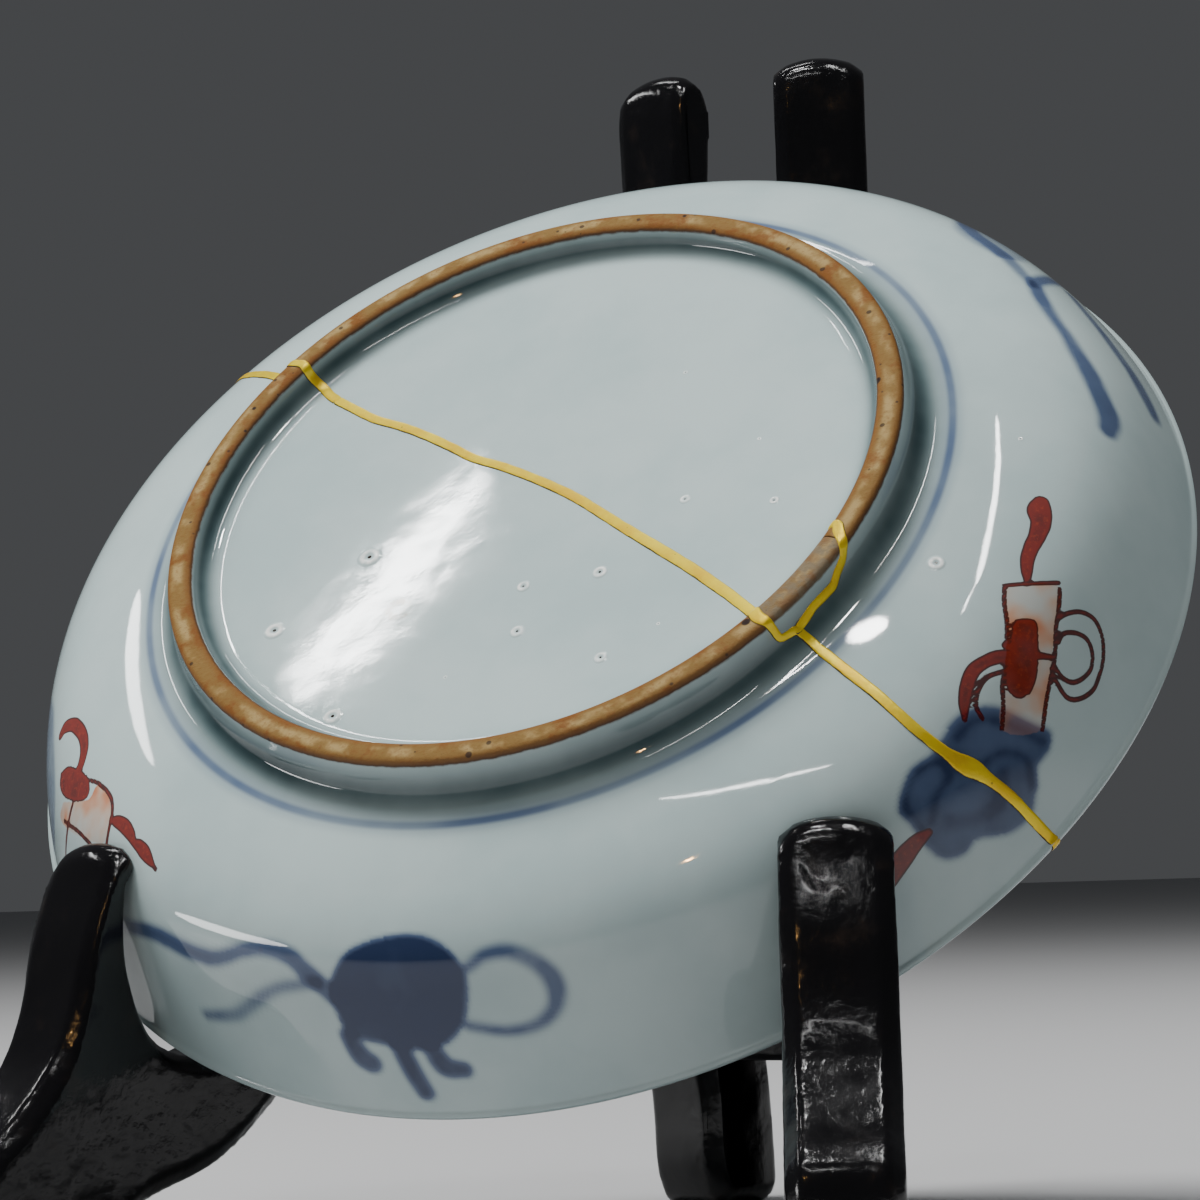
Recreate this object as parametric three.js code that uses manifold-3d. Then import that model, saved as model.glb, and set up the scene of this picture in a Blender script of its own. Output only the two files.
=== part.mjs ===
// Gold-mended porcelain dish, held face-back on a black lacquered plate stand.
// Millimetres, +Z up, front towards -Y. The dish is cut into its sherds and the gold seam that
// joins them, and each of the stand's two arms is a board cut to an S-shaped outline.

import * as THREE from 'three';
import { mergeVertices } from 'three/addons/utils/BufferGeometryUtils.js';
import Module from 'manifold-3d';

// Dish, measured as it would stand on its foot
const rimRadius = 75;
const dishHeight = 28.8;
const wallAtFoot = 4.2;
const wallAtRim = 2.8;
const footRadius = 46.6;
const footWidth = 3.1;
const footHeight = 5;
const footFlare = 2.5;
const footEdge = 0.6;
const recessDepth = 3.2;
const recessDome = 0.5;
const recessFillet = 2.9;
const bodyRise = 12;
const shoulderRise = 72;

// Breaks and the gold that fills them. The flake's ends are degrees round the foot ring.
const seamWidth = 1.3;
const clearance = 0.3;
const flakeDepth = 2.4;
const flakeFrom = 37.5;
const flakeTo = 19;

// How the dish leans, and where its rim meets the two arms
const dishLean = 40.4;
const seatHeight = 27.5;
const seatSpacing = 79.8;
const uprightSpacing = 17.2;

// Arms of the stand, cut from board, and the wedge that joins them
const boardThickness = 12.5;
const boardChamfer = 1.7;
const tipChamfer = 1.1;
const hookHeight = 24.4;
const hookSetback = 5.9;
const hookThickness = 3.6;
const toeReach = 22;
const toeLength = 14;
const memberThickness = 13;
const uprightThickness = 6.4;
const uprightOvershoot = 25;
const heelReach = 8;
const heelLength = 14;
const linkWidth = 9.5;
const linkHeight = 36;
const linkLift = 20;

// Fineness of the round forms
const turnSegments = 64;
const bodySteps = 9;
const seamSteps = 34;
const flakeSteps = 14;
const outlineSteps = 112;

const rad = THREE.MathUtils.degToRad;
const lean = rad(dishLean);

const porcelain = new THREE.MeshStandardMaterial({ color: 0xc3ccd0, roughness: 0.12, metalness: 0 });
const biscuit = new THREE.MeshStandardMaterial({ color: 0xc58a55, roughness: 0.7, metalness: 0 });
const gold = new THREE.MeshStandardMaterial({ color: 0xd9a441, roughness: 0.35, metalness: 1 });
const lacquer = new THREE.MeshStandardMaterial({ color: 0x08080a, roughness: 0.15, metalness: 0 });

const wasm = await Module();
wasm.setup();

// A closed geometry as a manifold solid, and back
function toSolid(geometry) {
  const bare = geometry.clone();
  bare.deleteAttribute('normal');
  bare.deleteAttribute('uv');
  const merged = mergeVertices(bare, 1e-4);
  const corners = merged.index.array;
  const triangles = [];
  for (let i = 0; i < corners.length; i += 3) {
    const [a, b, c] = [corners[i], corners[i + 1], corners[i + 2]];
    if (a !== b && b !== c && c !== a) triangles.push(a, b, c);
  }
  return new wasm.Manifold(new wasm.Mesh({
    numProp: 3,
    vertProperties: new Float32Array(merged.attributes.position.array),
    triVerts: new Uint32Array(triangles),
  }));
}

function toGeometry(solid) {
  const mesh = solid.getMesh();
  const geometry = new THREE.BufferGeometry();
  geometry.setAttribute('position', new THREE.BufferAttribute(mesh.vertProperties, 3));
  geometry.setIndex(new THREE.BufferAttribute(mesh.triVerts, 1));
  geometry.computeVertexNormals();
  return geometry;
}

// The separate lumps of a solid, the largest first
function lumps(solid) {
  return solid.decompose().sort((a, b) => b.volume() - a.volume());
}

function namedMesh(name, geometry, material) {
  const mesh = new THREE.Mesh(geometry, material);
  mesh.name = name;
  return mesh;
}

// The body's outside from the root of the foot to the rim, one Bezier curve of radius and height
function bodyCurve() {
  const root = new THREE.Vector2(footRadius + footFlare, footHeight);
  const rim = new THREE.Vector2(rimRadius, dishHeight);
  const chord = rim.distanceTo(root);
  const outwards = new THREE.Vector2(Math.cos(rad(bodyRise)), Math.sin(rad(bodyRise)));
  const upwards = new THREE.Vector2(Math.cos(rad(shoulderRise)), Math.sin(rad(shoulderRise)));
  return new THREE.CubicBezierCurve(
    root,
    root.clone().addScaledVector(outwards, chord * 0.468),
    rim.clone().addScaledVector(upwards, -chord * 0.534),
    rim,
  );
}

// Full section of the dish, from the middle of the foot recess round the rim to the well
function dishSection() {
  const footInner = footRadius - footWidth;
  const recessEdge = footInner - recessFillet;
  const points = [
    [0, recessDepth + recessDome], [recessEdge * 0.6, recessDepth + recessDome * 0.64],
    [recessEdge, recessDepth], [footInner - recessFillet * 0.3, recessDepth * 0.62],
    [footInner, footEdge], [footInner + footEdge, 0],
    [footRadius - footEdge, 0], [footRadius, footEdge],
    [footRadius + footFlare * 0.35, footHeight * 0.6],
  ].map(([r, z]) => new THREE.Vector2(r, z));
  const outside = bodyCurve();
  const inside = [];
  for (let i = 0; i < bodySteps; i += 1) {
    const share = i / bodySteps;
    const point = outside.getPoint(share);
    const along = outside.getTangent(share);
    const wall = THREE.MathUtils.lerp(wallAtFoot, wallAtRim, share);
    points.push(point);
    inside.unshift(new THREE.Vector2(point.x - along.y * wall, point.y + along.x * wall));
  }
  // The lip is a half round between the two skins
  const lip = wallAtRim / 2;
  for (const turn of [0, 45, 90, 135, 180]) {
    points.push(new THREE.Vector2(
      rimRadius - lip + lip * Math.cos(rad(turn)),
      dishHeight - lip + lip * Math.sin(rad(turn)),
    ));
  }
  const well = inside[inside.length - 1];
  points.push(...inside);
  points.push(new THREE.Vector2(well.x * 0.6, well.y - 0.6));
  points.push(new THREE.Vector2(0, well.y - 0.8));
  return points;
}

// The main break's course across the underside in shares of the rim radius, y downwards
const seamCourse = [
  [-0.9, -0.542], [-0.7, -0.428], [-0.512, -0.311], [-0.405, -0.235], [-0.185, -0.119],
  [-0.06, -0.055], [0.131, 0.064], [0.38, 0.255], [0.44, 0.309], [0.475, 0.36],
  [0.515, 0.379], [0.573, 0.381], [0.685, 0.464], [0.755, 0.496], [0.827, 0.499], [0.93, 0.517],
];

// A closed strip along a plane curve, reaching so far to its left and to its right
function stripShape(course, leftReach, rightReach) {
  const left = [];
  const right = [];
  course.forEach((point, i) => {
    const before = course[Math.max(i - 1, 0)];
    const after = course[Math.min(i + 1, course.length - 1)];
    const along = after.clone().sub(before).normalize();
    const across = new THREE.Vector2(-along.y, along.x);
    left.push(point.clone().addScaledVector(across, leftReach));
    right.unshift(point.clone().addScaledVector(across, -rightReach));
  });
  return new THREE.Shape([...left, ...right]);
}

// The main break as an upright wall; its left is the lower sherd's side
function breakWall(lowerReach, upperReach) {
  const places = seamCourse.map(([x, y]) => new THREE.Vector2(x * rimRadius, y * rimRadius));
  const course = new THREE.SplineCurve(places).getSpacedPoints(seamSteps);
  const below = 2;
  const geometry = new THREE.ExtrudeGeometry(stripShape(course, lowerReach, upperReach), {
    depth: dishHeight + 2 * below, bevelEnabled: false,
  });
  geometry.translate(0, 0, -below);
  return toSolid(geometry);
}

// A shape of arc length against height, pushed through the foot ring radially
function radialPrism(shape) {
  const rIn = footRadius - footWidth - recessFillet - 4;
  const rOut = footRadius + footFlare + 4;
  const geometry = new THREE.ExtrudeGeometry(shape, { depth: rOut - rIn, bevelEnabled: false });
  const place = geometry.attributes.position;
  for (let i = 0; i < place.count; i += 1) {
    const turn = place.getX(i) / footRadius;
    const r = rIn + place.getZ(i);
    place.setXYZ(i, r * Math.cos(turn), r * Math.sin(turn), place.getY(i));
  }
  return toSolid(geometry);
}

// The small break that frees a flake of the foot ring: level, then running out through its crest
function flakeCourse() {
  const place = (degrees, height) => new THREE.Vector2(footRadius * rad(degrees), height);
  const run = flakeFrom - flakeTo;
  return new THREE.SplineCurve([
    place(flakeFrom + run * 0.3, flakeDepth),
    place(flakeFrom - run * 0.1, flakeDepth),
    place(flakeFrom - run * 0.5, flakeDepth * 0.97),
    place(flakeFrom - run * 0.74, flakeDepth * 0.6),
    place(flakeTo, 0),
    place(flakeTo - run * 0.1, -flakeDepth),
  ]).getSpacedPoints(flakeSteps);
}

function flakeBreak(width) {
  return radialPrism(stripShape(flakeCourse(), width / 2, width / 2));
}

function underFlakeBreak() {
  const course = flakeCourse();
  const corner = new THREE.Vector2(course[0].x, course[course.length - 1].y);
  return radialPrism(new THREE.Shape([...course, corner]));
}

function makeDish() {
  const whole = toSolid(new THREE.LatheGeometry(dishSection(), turnSegments).rotateX(Math.PI / 2));
  const slot = seamWidth + 2 * clearance;
  const sherds = lumps(whole.subtract(breakWall(slot / 2, slot / 2))).slice(0, 2);
  const [upper, lower] = sherds.sort((a, b) => a.boundingBox().min[1] - b.boundingBox().min[1]);
  const parted = upper.subtract(flakeBreak(slot));
  const under = underFlakeBreak();

  const mainGold = whole.intersect(breakWall(seamWidth / 2, seamWidth / 2));
  const upperSide = upper.add(whole.intersect(breakWall(0, slot / 2)));
  const branchGold = upperSide.intersect(flakeBreak(seamWidth));

  const group = new THREE.Group();
  group.add(
    namedMesh('dish_upper_sherd', toGeometry(lumps(parted.subtract(under))[0]), porcelain),
    namedMesh('dish_lower_sherd', toGeometry(lower), porcelain),
    namedMesh('foot_ring_sherd', toGeometry(lumps(parted.intersect(under))[0]), biscuit),
    namedMesh('gold_seam', toGeometry(lumps(mainGold.add(branchGold))[0]), gold),
  );
  return group;
}

// Where the leaning rim meets an arm: its low point on the seat and its high point on the upright.
// Both lie on one upright plane, the arm's, just inside the chamfer of the board's inner face.
const seatX = seatSpacing / 2;
const uprightX = uprightSpacing / 2;
const seatDrop = Math.sqrt(rimRadius ** 2 - seatX ** 2);
const uprightClimb = Math.sqrt(rimRadius ** 2 - uprightX ** 2);
const rimRun = (seatDrop + uprightClimb) * Math.sin(lean);
const rimRise = (seatDrop + uprightClimb) * Math.cos(lean);
const splay = Math.atan2(seatX - uprightX, rimRun);
const armRun = Math.hypot(rimRun, seatX - uprightX);
const contactPlane = boardThickness / 2 - boardChamfer;
const heel = armRun + clearance + uprightThickness + heelReach;

// Outline of an arm in its own plane: u runs back from the seat contact, v is height over the floor
function armOutline() {
  const seat = seatHeight - clearance;
  const tip = seat + hookHeight;
  const hook = -hookSetback;
  const toe = hook - toeReach;
  const rest = armRun + clearance;
  const back = rest + uprightThickness;
  const contact = seatHeight + rimRise;
  const top = contact + uprightOvershoot;
  const frontOfHook = [
    [hook + 0.2, tip], [hook - hookThickness * 0.55, tip - 1.1], [hook - hookThickness, tip - 5],
    [hook - hookThickness * 1.75, tip - hookHeight * 0.48],
    [hook - hookThickness * 2.2, tip - hookHeight * 0.74],
    [hook - hookThickness * 3.1, seat - 0.8], [hook - toeReach * 0.75, seat - 6.6],
  ];
  const toeAndArch = [
    [toe, seat - 12], [toe, 5], [toe + 1.2, 1.4], [toe + 4, 0],
    [toe + toeLength, 0], [toe + toeLength + 3, 3], [toe + toeLength + 8, 8.5],
    [hook + 15, seat - memberThickness], [armRun * 0.3, seat + rimRise * 0.09 - memberThickness / 2],
    [armRun * 0.55, seat + rimRise * 0.27 - memberThickness / 2], [armRun * 0.74, seat + rimRise * 0.21],
    [heel - heelLength - 2.5, seat - 6], [heel - heelLength, 4], [heel - heelLength + 2.5, 0],
  ];
  const backOfUpright = [
    [heel - 3, 0], [heel - 0.4, 1.6], [heel, 6], [heel - 2.4, seat + 4],
    [heel - 4.2, seat + rimRise * 0.36], [back + 3.6, seat + rimRise * 0.62],
    [back + 1.6, contact - 14], [back, contact + 6], [back, top - 5],
    [back - uprightThickness * 0.18, top - 1.2], [back - uprightThickness / 2, top],
  ];
  const frontOfUpright = [
    [rest + uprightThickness * 0.12, top - 1.4], [rest, top - 5], [rest, contact + 8],
    [rest, contact - 2], [rest - 4, seat + rimRise * 0.76], [armRun * 0.83, seat + rimRise * 0.53],
    [armRun * 0.58, seat + rimRise * 0.3], [armRun * 0.3, seat + rimRise * 0.1],
  ];
  const seatAndHook = [
    [7, seat - 1], [0.6, seat - 0.4], [hook * 0.37, seat + 1.3], [hook * 0.66, seat + 3.9],
    [hook * 0.86, seat + 6.6], [hook - 0.4, seat + hookHeight * 0.43],
    [hook - 0.7, seat + hookHeight * 0.62], [hook - 0.3, tip - 5], [hook + 0.9, tip - 1.6],
  ];
  const points = [...frontOfHook, ...toeAndArch, ...backOfUpright, ...frontOfUpright, ...seatAndHook];
  const curve = new THREE.CatmullRomCurve3(
    points.map(([u, v]) => new THREE.Vector3(u, v, 0)),
    true,
    'centripetal',
  );
  return curve.getSpacedPoints(outlineSteps).slice(1)
    .map((place) => new THREE.Vector2(place.x, Math.max(place.y, 0)));
}

// The outline drawn in by the chamfer, which grows from the slim tips down to the thick members
function insetOutline(outline) {
  const hookTip = seatHeight + hookHeight;
  const uprightTip = seatHeight + rimRise + uprightOvershoot;
  const count = outline.length;
  return outline.map((point, i) => {
    const before = outline[(i + count - 1) % count];
    const after = outline[(i + 1) % count];
    const along = after.clone().sub(before).normalize();
    const fromTip = point.x < armRun / 3 ? hookTip - point.y : uprightTip - point.y;
    const share = THREE.MathUtils.smoothstep(fromTip, 4, 34);
    const depth = THREE.MathUtils.lerp(tipChamfer, boardChamfer, share);
    return new THREE.Vector2(point.x - along.y * depth, point.y + along.x * depth);
  });
}

// A board cut to the outline with both edges chamfered, its thickness along z
function chamferedBoard(outline, inset) {
  const half = boardThickness / 2;
  const layers = [[inset, -half], [outline, -contactPlane], [outline, contactPlane], [inset, half]];
  const count = outline.length;
  const places = layers.flatMap(([ring, z]) => ring.flatMap((point) => [point.x, point.y, z]));
  const corners = [];
  const last = (layers.length - 1) * count;
  for (const [a, b, c] of THREE.ShapeUtils.triangulateShape(inset, [])) {
    corners.push(a, c, b, last + a, last + b, last + c);
  }
  for (let low = 0; low < last; low += count) {
    const high = low + count;
    for (let i = 0; i < count; i += 1) {
      const j = (i + 1) % count;
      corners.push(low + i, low + j, high + j, low + i, high + j, high + i);
    }
  }
  const geometry = new THREE.BufferGeometry();
  geometry.setAttribute('position', new THREE.Float32BufferAttribute(places, 3));
  geometry.setIndex(corners);
  return geometry;
}

// side is 1 for the arm on the right of the front and -1 for the left one
function makeArm(name, side) {
  const outline = armOutline();
  const geometry = chamferedBoard(outline, insetOutline(outline));
  // Stand the board up, u back along +Y, v up and the thickness along X, then splay it
  geometry.applyMatrix4(new THREE.Matrix4().makeBasis(
    new THREE.Vector3(0, 1, 0),
    new THREE.Vector3(0, 0, 1),
    new THREE.Vector3(1, 0, 0),
  ));
  const mesh = namedMesh(name, geometry, lacquer);
  mesh.position.x = side * (seatX + contactPlane * Math.cos(splay));
  mesh.position.y = contactPlane * Math.sin(splay);
  mesh.rotation.z = side * splay;
  return mesh;
}

// The arms are glued to a wedge that fills the narrow space between their rear legs
function makeLink() {
  const offset = boardChamfer + clearance;
  const faceAt = (u, side) => new THREE.Vector2(
    side * (seatX - u * Math.sin(splay) - offset * Math.cos(splay)),
    u * Math.cos(splay) - offset * Math.sin(splay),
  );
  const rear = heel - 4.5;
  const front = rear - linkWidth;
  const shape = new THREE.Shape([faceAt(front, 1), faceAt(rear, 1), faceAt(rear, -1), faceAt(front, -1)]);
  const geometry = new THREE.ExtrudeGeometry(shape, { depth: linkHeight, bevelEnabled: false });
  geometry.translate(0, 0, linkLift);
  return namedMesh('stand_rear_link', geometry, lacquer);
}

// The dish leans back on its rim, with its foot towards the front
const dish = makeDish();
dish.rotation.x = -(Math.PI / 2 + lean);
dish.position.y = seatDrop * Math.sin(lean) - dishHeight * Math.cos(lean);
dish.position.z = seatHeight + seatDrop * Math.cos(lean) + dishHeight * Math.sin(lean);

const model = new THREE.Group();
model.add(dish, makeArm('stand_left_arm', -1), makeArm('stand_right_arm', 1), makeLink());

// The origin is under the middle of the whole
model.updateMatrixWorld(true);
const reach = new THREE.Box3().setFromObject(model, true);
model.position.y = -(reach.min.y + reach.max.y) / 2;

export default model;
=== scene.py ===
import bmesh
import bpy
import numpy as np
from math import cos, degrees, pi, radians, sin, sqrt, atan2
from mathutils import Matrix, Vector


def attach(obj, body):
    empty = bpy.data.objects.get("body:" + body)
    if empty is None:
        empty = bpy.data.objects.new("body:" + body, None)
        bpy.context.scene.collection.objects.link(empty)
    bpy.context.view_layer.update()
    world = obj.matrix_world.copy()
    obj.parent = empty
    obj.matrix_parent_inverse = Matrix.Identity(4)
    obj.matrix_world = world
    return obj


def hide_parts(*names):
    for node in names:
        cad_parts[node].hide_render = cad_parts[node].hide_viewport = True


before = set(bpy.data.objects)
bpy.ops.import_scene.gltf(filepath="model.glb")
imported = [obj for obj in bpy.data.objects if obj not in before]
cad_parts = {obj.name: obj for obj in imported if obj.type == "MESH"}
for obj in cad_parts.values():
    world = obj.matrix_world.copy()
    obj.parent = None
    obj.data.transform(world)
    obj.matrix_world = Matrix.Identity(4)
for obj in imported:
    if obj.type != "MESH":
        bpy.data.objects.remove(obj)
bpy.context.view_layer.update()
mm = 0.001
scene = bpy.context.scene

# The middle of the dish's foot, and how far the dish leans back
pose = {"footCentre": (0, -20.467, 94.528), "lean": 40.4}

lean = radians(pose["lean"])
acrossAxis = np.array((1.0, 0.0, 0.0))
upAxis = np.array((0.0, sin(lean), cos(lean)))
depthAxis = np.array((0.0, cos(lean), -sin(lean)))


# The dish's own millimetres are x to the right, w up along its plane and t from foot to rim
def toWorld(x, w, t):
    x, w, t = (np.asarray(v, float)[..., None] for v in (x, w, t))
    return (x * acrossAxis + w * upAxis + t * depthAxis + np.array(pose["footCentre"])) * mm


def toDish(places):
    away = places / mm - np.array(pose["footCentre"])
    return away @ acrossAxis, away @ upAxis, away @ depthAxis


def unit(vectors):
    return vectors / np.maximum(np.linalg.norm(vectors, axis=-1, keepdims=True), 1e-12)


# Directions in the dish's own axes as the scene's
def directions(rows):
    return rows[:, :1] * acrossAxis + rows[:, 1:2] * upAxis + rows[:, 2:] * depthAxis


# A share from 0 to 1 with a slow start and a slow end
def eased(share):
    share = np.clip(share, 0, 1)
    return share * share * (3 - 2 * share)


# Lines: through given points, and resampled at an even step
def evenly(line, step):
    run = np.r_[0, np.cumsum(np.linalg.norm(np.diff(line, axis=0), axis=1))]
    count = max(int(round(run[-1] / step)), 1) + 1
    at = np.linspace(0, run[-1], count)
    return np.stack([np.interp(at, run, column) for column in line.T], 1)


def throughPoints(points, step, fine=24):
    p = np.array(points, float)
    p = np.vstack((2 * p[0] - p[1], p, 2 * p[-1] - p[-2]))
    s = np.linspace(0, 1, fine, endpoint=False)[:, None]
    spans = []
    for a, b, c, d in zip(p, p[1:], p[2:], p[3:]):
        spans.append(0.5 * (2 * b + (c - a) * s + (2 * a - 5 * b + 4 * c - d) * s ** 2
                            + (3 * b - a - 3 * c + d) * s ** 3))
    return evenly(np.vstack(spans + [p[-2:-1]]), step)


# Meshes
def addMesh(name, places, faces, smooth=True, edges=()):
    mesh = bpy.data.meshes.new(name)
    mesh.from_pydata([tuple(p) for p in places], list(edges), [tuple(f) for f in faces])
    mesh.validate()
    thing = bpy.data.objects.new(name, mesh)
    scene.collection.objects.link(thing)
    if smooth and len(faces):
        mesh.shade_smooth()
    return thing


def places(thing):
    flat = np.empty(len(thing.data.vertices) * 3, np.float32)
    thing.data.vertices.foreach_get("co", flat)
    return flat.reshape(-1, 3).astype(float)


def giveAttribute(thing, name, values):
    kind = "FLOAT_VECTOR" if np.ndim(values) == 2 else "FLOAT"
    layer = thing.data.attributes.new(name, kind, "POINT")
    layer.data.foreach_set("vector" if kind == "FLOAT_VECTOR" else "value",
                           np.ascontiguousarray(values, np.float32).ravel())


# The result of a piece's modifiers as its own plain mesh
def settle(thing):
    graph = bpy.context.evaluated_depsgraph_get()
    done = bpy.data.meshes.new_from_object(thing.evaluated_get(graph))
    thing.modifiers.clear()
    old = thing.data
    thing.data = done
    done.name = thing.name
    bpy.data.meshes.remove(old)
    return thing


def discard(*things):
    for thing in things:
        mesh = thing.data
        bpy.data.objects.remove(thing)
        bpy.data.meshes.remove(mesh)


def carve(thing, cutter, operation):
    cut = thing.modifiers.new("cut", "BOOLEAN")
    cut.operation = operation
    cut.solver = "MANIFOLD"
    cut.object = cutter
    settle(thing)


# Merges doubles and turns every face outwards
def mend(thing):
    shape = bmesh.new()
    shape.from_mesh(thing.data)
    bmesh.ops.remove_doubles(shape, verts=shape.verts, dist=1e-6)
    bmesh.ops.recalc_face_normals(shape, faces=shape.faces)
    shape.to_mesh(thing.data)
    shape.free()


# A closed mesh from rings of as many places each, flat at both ends
def stackRings(name, rings):
    count = len(rings[0])
    faces = [tuple(range(count))[::-1], tuple(range((len(rings) - 1) * count, len(rings) * count))]
    for low in range(0, (len(rings) - 1) * count, count):
        faces += [(low + i, low + (i + 1) % count, low + count + (i + 1) % count, low + count + i)
                  for i in range(count)]
    thing = addMesh(name, np.vstack(rings), faces, False)
    mend(thing)
    return thing


def joined(name, things):
    bpy.ops.object.select_all(action="DESELECT")
    for thing in things:
        thing.select_set(True)
    bpy.context.view_layer.objects.active = things[0]
    bpy.ops.object.join()
    things[0].name = name
    things[0].data.name = name
    return things[0]


def finish(thing, material, slot, *nodes):
    thing.data.materials.clear()
    thing.data.materials.append(material)
    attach(thing, "root")
    if nodes:
        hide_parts(*nodes)


# Node trees
def setInputs(tree, node, inputs):
    for key, value in inputs.items():
        if isinstance(value, bpy.types.NodeSocket):
            tree.links.new(value, node.inputs[key])
        else:
            node.inputs[key].default_value = value


def add(tree, kind, inputs=None, **settings):
    new = tree.nodes.new(kind)
    for key, value in settings.items():
        setattr(new, key, value)
    setInputs(tree, new, inputs or {})
    return new


def maths(tree, operation, *values, clamp=False):
    inputs = dict(enumerate(values))
    return add(tree, "ShaderNodeMath", inputs, operation=operation, use_clamp=clamp).outputs[0]


def times(tree, first, second):
    return maths(tree, "MULTIPLY", first, second)


def plus(tree, first, second):
    return maths(tree, "ADD", first, second)


def minus(tree, first, second):
    return maths(tree, "SUBTRACT", first, second)


def spread(tree, value, low, high, toLow=0.0, toHigh=1.0, smooth=True):
    kind = "SMOOTHSTEP" if smooth else "LINEAR"
    inputs = {"Value": value, "From Min": low, "From Max": high, "To Min": toLow, "To Max": toHigh}
    return add(tree, "ShaderNodeMapRange", inputs, interpolation_type=kind).outputs["Result"]


def blendColour(tree, share, first, second):
    new = add(tree, "ShaderNodeMix", data_type="RGBA")
    given = {0: share, 6: first, 7: second}
    setInputs(tree, new, {key: (*v, 1) if isinstance(v, tuple) else v for key, v in given.items()})
    return new.outputs[2]


def attribute(tree, name):
    return add(tree, "ShaderNodeAttribute", attribute_name=name).outputs["Fac"]


def noise(tree, vector, scale, detail=2.0, rough=0.5):
    inputs = {"Vector": vector, "Scale": scale, "Detail": detail, "Roughness": rough}
    return add(tree, "ShaderNodeTexNoise", inputs).outputs["Fac"]


def objectPlace(tree):
    return add(tree, "ShaderNodeTexCoord").outputs["Object"]


def newMaterial(name):
    material = bpy.data.materials.new(name)
    material.use_nodes = True
    tree = material.node_tree
    tree.nodes.clear()
    skin = add(tree, "ShaderNodeBsdfPrincipled")
    add(tree, "ShaderNodeOutputMaterial", {"Surface": skin.outputs[0]})
    return material, tree, skin


# A shader or geometry tree with named inputs and outputs
def newTree(kind, name, inputs, outputs):
    tree = bpy.data.node_groups.new(name, kind + "NodeTree")
    for key, socketKind, value in inputs:
        socket = tree.interface.new_socket(key, in_out="INPUT", socket_type="NodeSocket" + socketKind)
        if value is not None:
            socket.default_value = value
    for key, socketKind in outputs:
        tree.interface.new_socket(key, in_out="OUTPUT", socket_type="NodeSocket" + socketKind)
    return tree, tree.nodes.new("NodeGroupInput").outputs, tree.nodes.new("NodeGroupOutput")


# The end of each geometry tree: smooth, real and in its material
def closeTree(tree, shape, material, end):
    smooth = add(tree, "GeometryNodeSetShadeSmooth", {"Geometry": shape}).outputs[0]
    real = add(tree, "GeometryNodeRealizeInstances", {"Geometry": smooth}).outputs[0]
    dressed = add(tree, "GeometryNodeSetMaterial", {"Geometry": real, "Material": material}).outputs[0]
    tree.links.new(dressed, end.inputs[0])
    return tree


def runNodes(thing, tree, inputs):
    step = thing.modifiers.new("nodes", "NODES")
    step.node_group = tree
    sockets = {item.name: item.identifier for item in tree.interface.items_tree if item.in_out == "INPUT"}
    for key, value in inputs.items():
        step[sockets[key]] = value
    return settle(thing)


# Shared by glaze, gold and lacquer: a hand-made surface's slow swell and fine grain
def makeUnevenGroup():
    group, given, end = newTree(
        "Shader", "uneven surface",
        [("Vector", "Vector", None), ("Swell Scale", "Float", 60.0), ("Grain Scale", "Float", 900.0),
         ("Grain Share", "Float", 0.2)],
        [("Height", "Float"), ("Tone", "Float")])
    swell = noise(group, given["Vector"], given["Swell Scale"], 2, 0.45)
    grain = noise(group, given["Vector"], given["Grain Scale"], 3, 0.6)
    keep = minus(group, 1.0, given["Grain Share"])
    height = plus(group, times(group, swell, keep), times(group, grain, given["Grain Share"]))
    group.links.new(height, end.inputs["Height"])
    tone = noise(group, given["Vector"], times(group, given["Swell Scale"], 0.45), 4, 0.6)
    group.links.new(tone, end.inputs["Tone"])
    return group


# Shared by biscuit, glaze and gold: scattered specks, one to a cell
def makeSpeckGroup():
    group, given, end = newTree(
        "Shader", "specks",
        [("Vector", "Vector", None), ("Scale", "Float", 900.0), ("Size", "Float", 0.25),
         ("Share", "Float", 0.2)],
        [("Mask", "Float")])
    cells = add(group, "ShaderNodeTexVoronoi", {"Vector": given["Vector"], "Scale": given["Scale"]})
    pick = add(group, "ShaderNodeSeparateColor", {"Color": cells.outputs["Color"]})
    chosen = maths(group, "LESS_THAN", pick.outputs[0], given["Share"])
    reach = times(group, given["Size"], plus(group, 0.4, pick.outputs[1]))
    near = minus(group, reach, cells.outputs["Distance"])
    mask = times(group, spread(group, near, 0.0, 0.12), chosen)
    group.links.new(mask, end.inputs["Mask"])
    return group


unevenGroup = makeUnevenGroup()
speckGroup = makeSpeckGroup()


def unevenness(tree, place, swell, grain, share):
    inputs = {"Vector": place, "Swell Scale": swell, "Grain Scale": grain, "Grain Share": share}
    return add(tree, "ShaderNodeGroup", inputs, node_tree=unevenGroup).outputs


def speckMask(tree, place, scale, size, share):
    inputs = {"Vector": place, "Scale": scale, "Size": size, "Share": share}
    return add(tree, "ShaderNodeGroup", inputs, node_tree=speckGroup).outputs["Mask"]


print("tools ready")

# Camera, light and floor
view = {
    "lens": 108, "sensor": 36,
    "offset": (179.66, -388.36, -48.19),
    "right": (0.9143, 0.4039, -0.0314),
    "up": (0.0590, -0.0560, 0.9967),
}


def makeCamera():
    data = bpy.data.cameras.new("view")
    data.lens = view["lens"]
    data.sensor_width = view["sensor"]
    data.clip_start = 0.01
    right = Vector(view["right"]).normalized()
    up = Vector(view["up"])
    up = (up - right * up.dot(right)).normalized()
    turn = Matrix((right, up, right.cross(up))).transposed().to_4x4()
    camera = bpy.data.objects.new("view", data)
    place = (Vector(pose["footCentre"]) + Vector(view["offset"])) * mm
    camera.matrix_world = Matrix.Translation(place) @ turn
    scene.collection.objects.link(camera)
    scene.camera = camera


makeCamera()
print("camera set")

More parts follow.
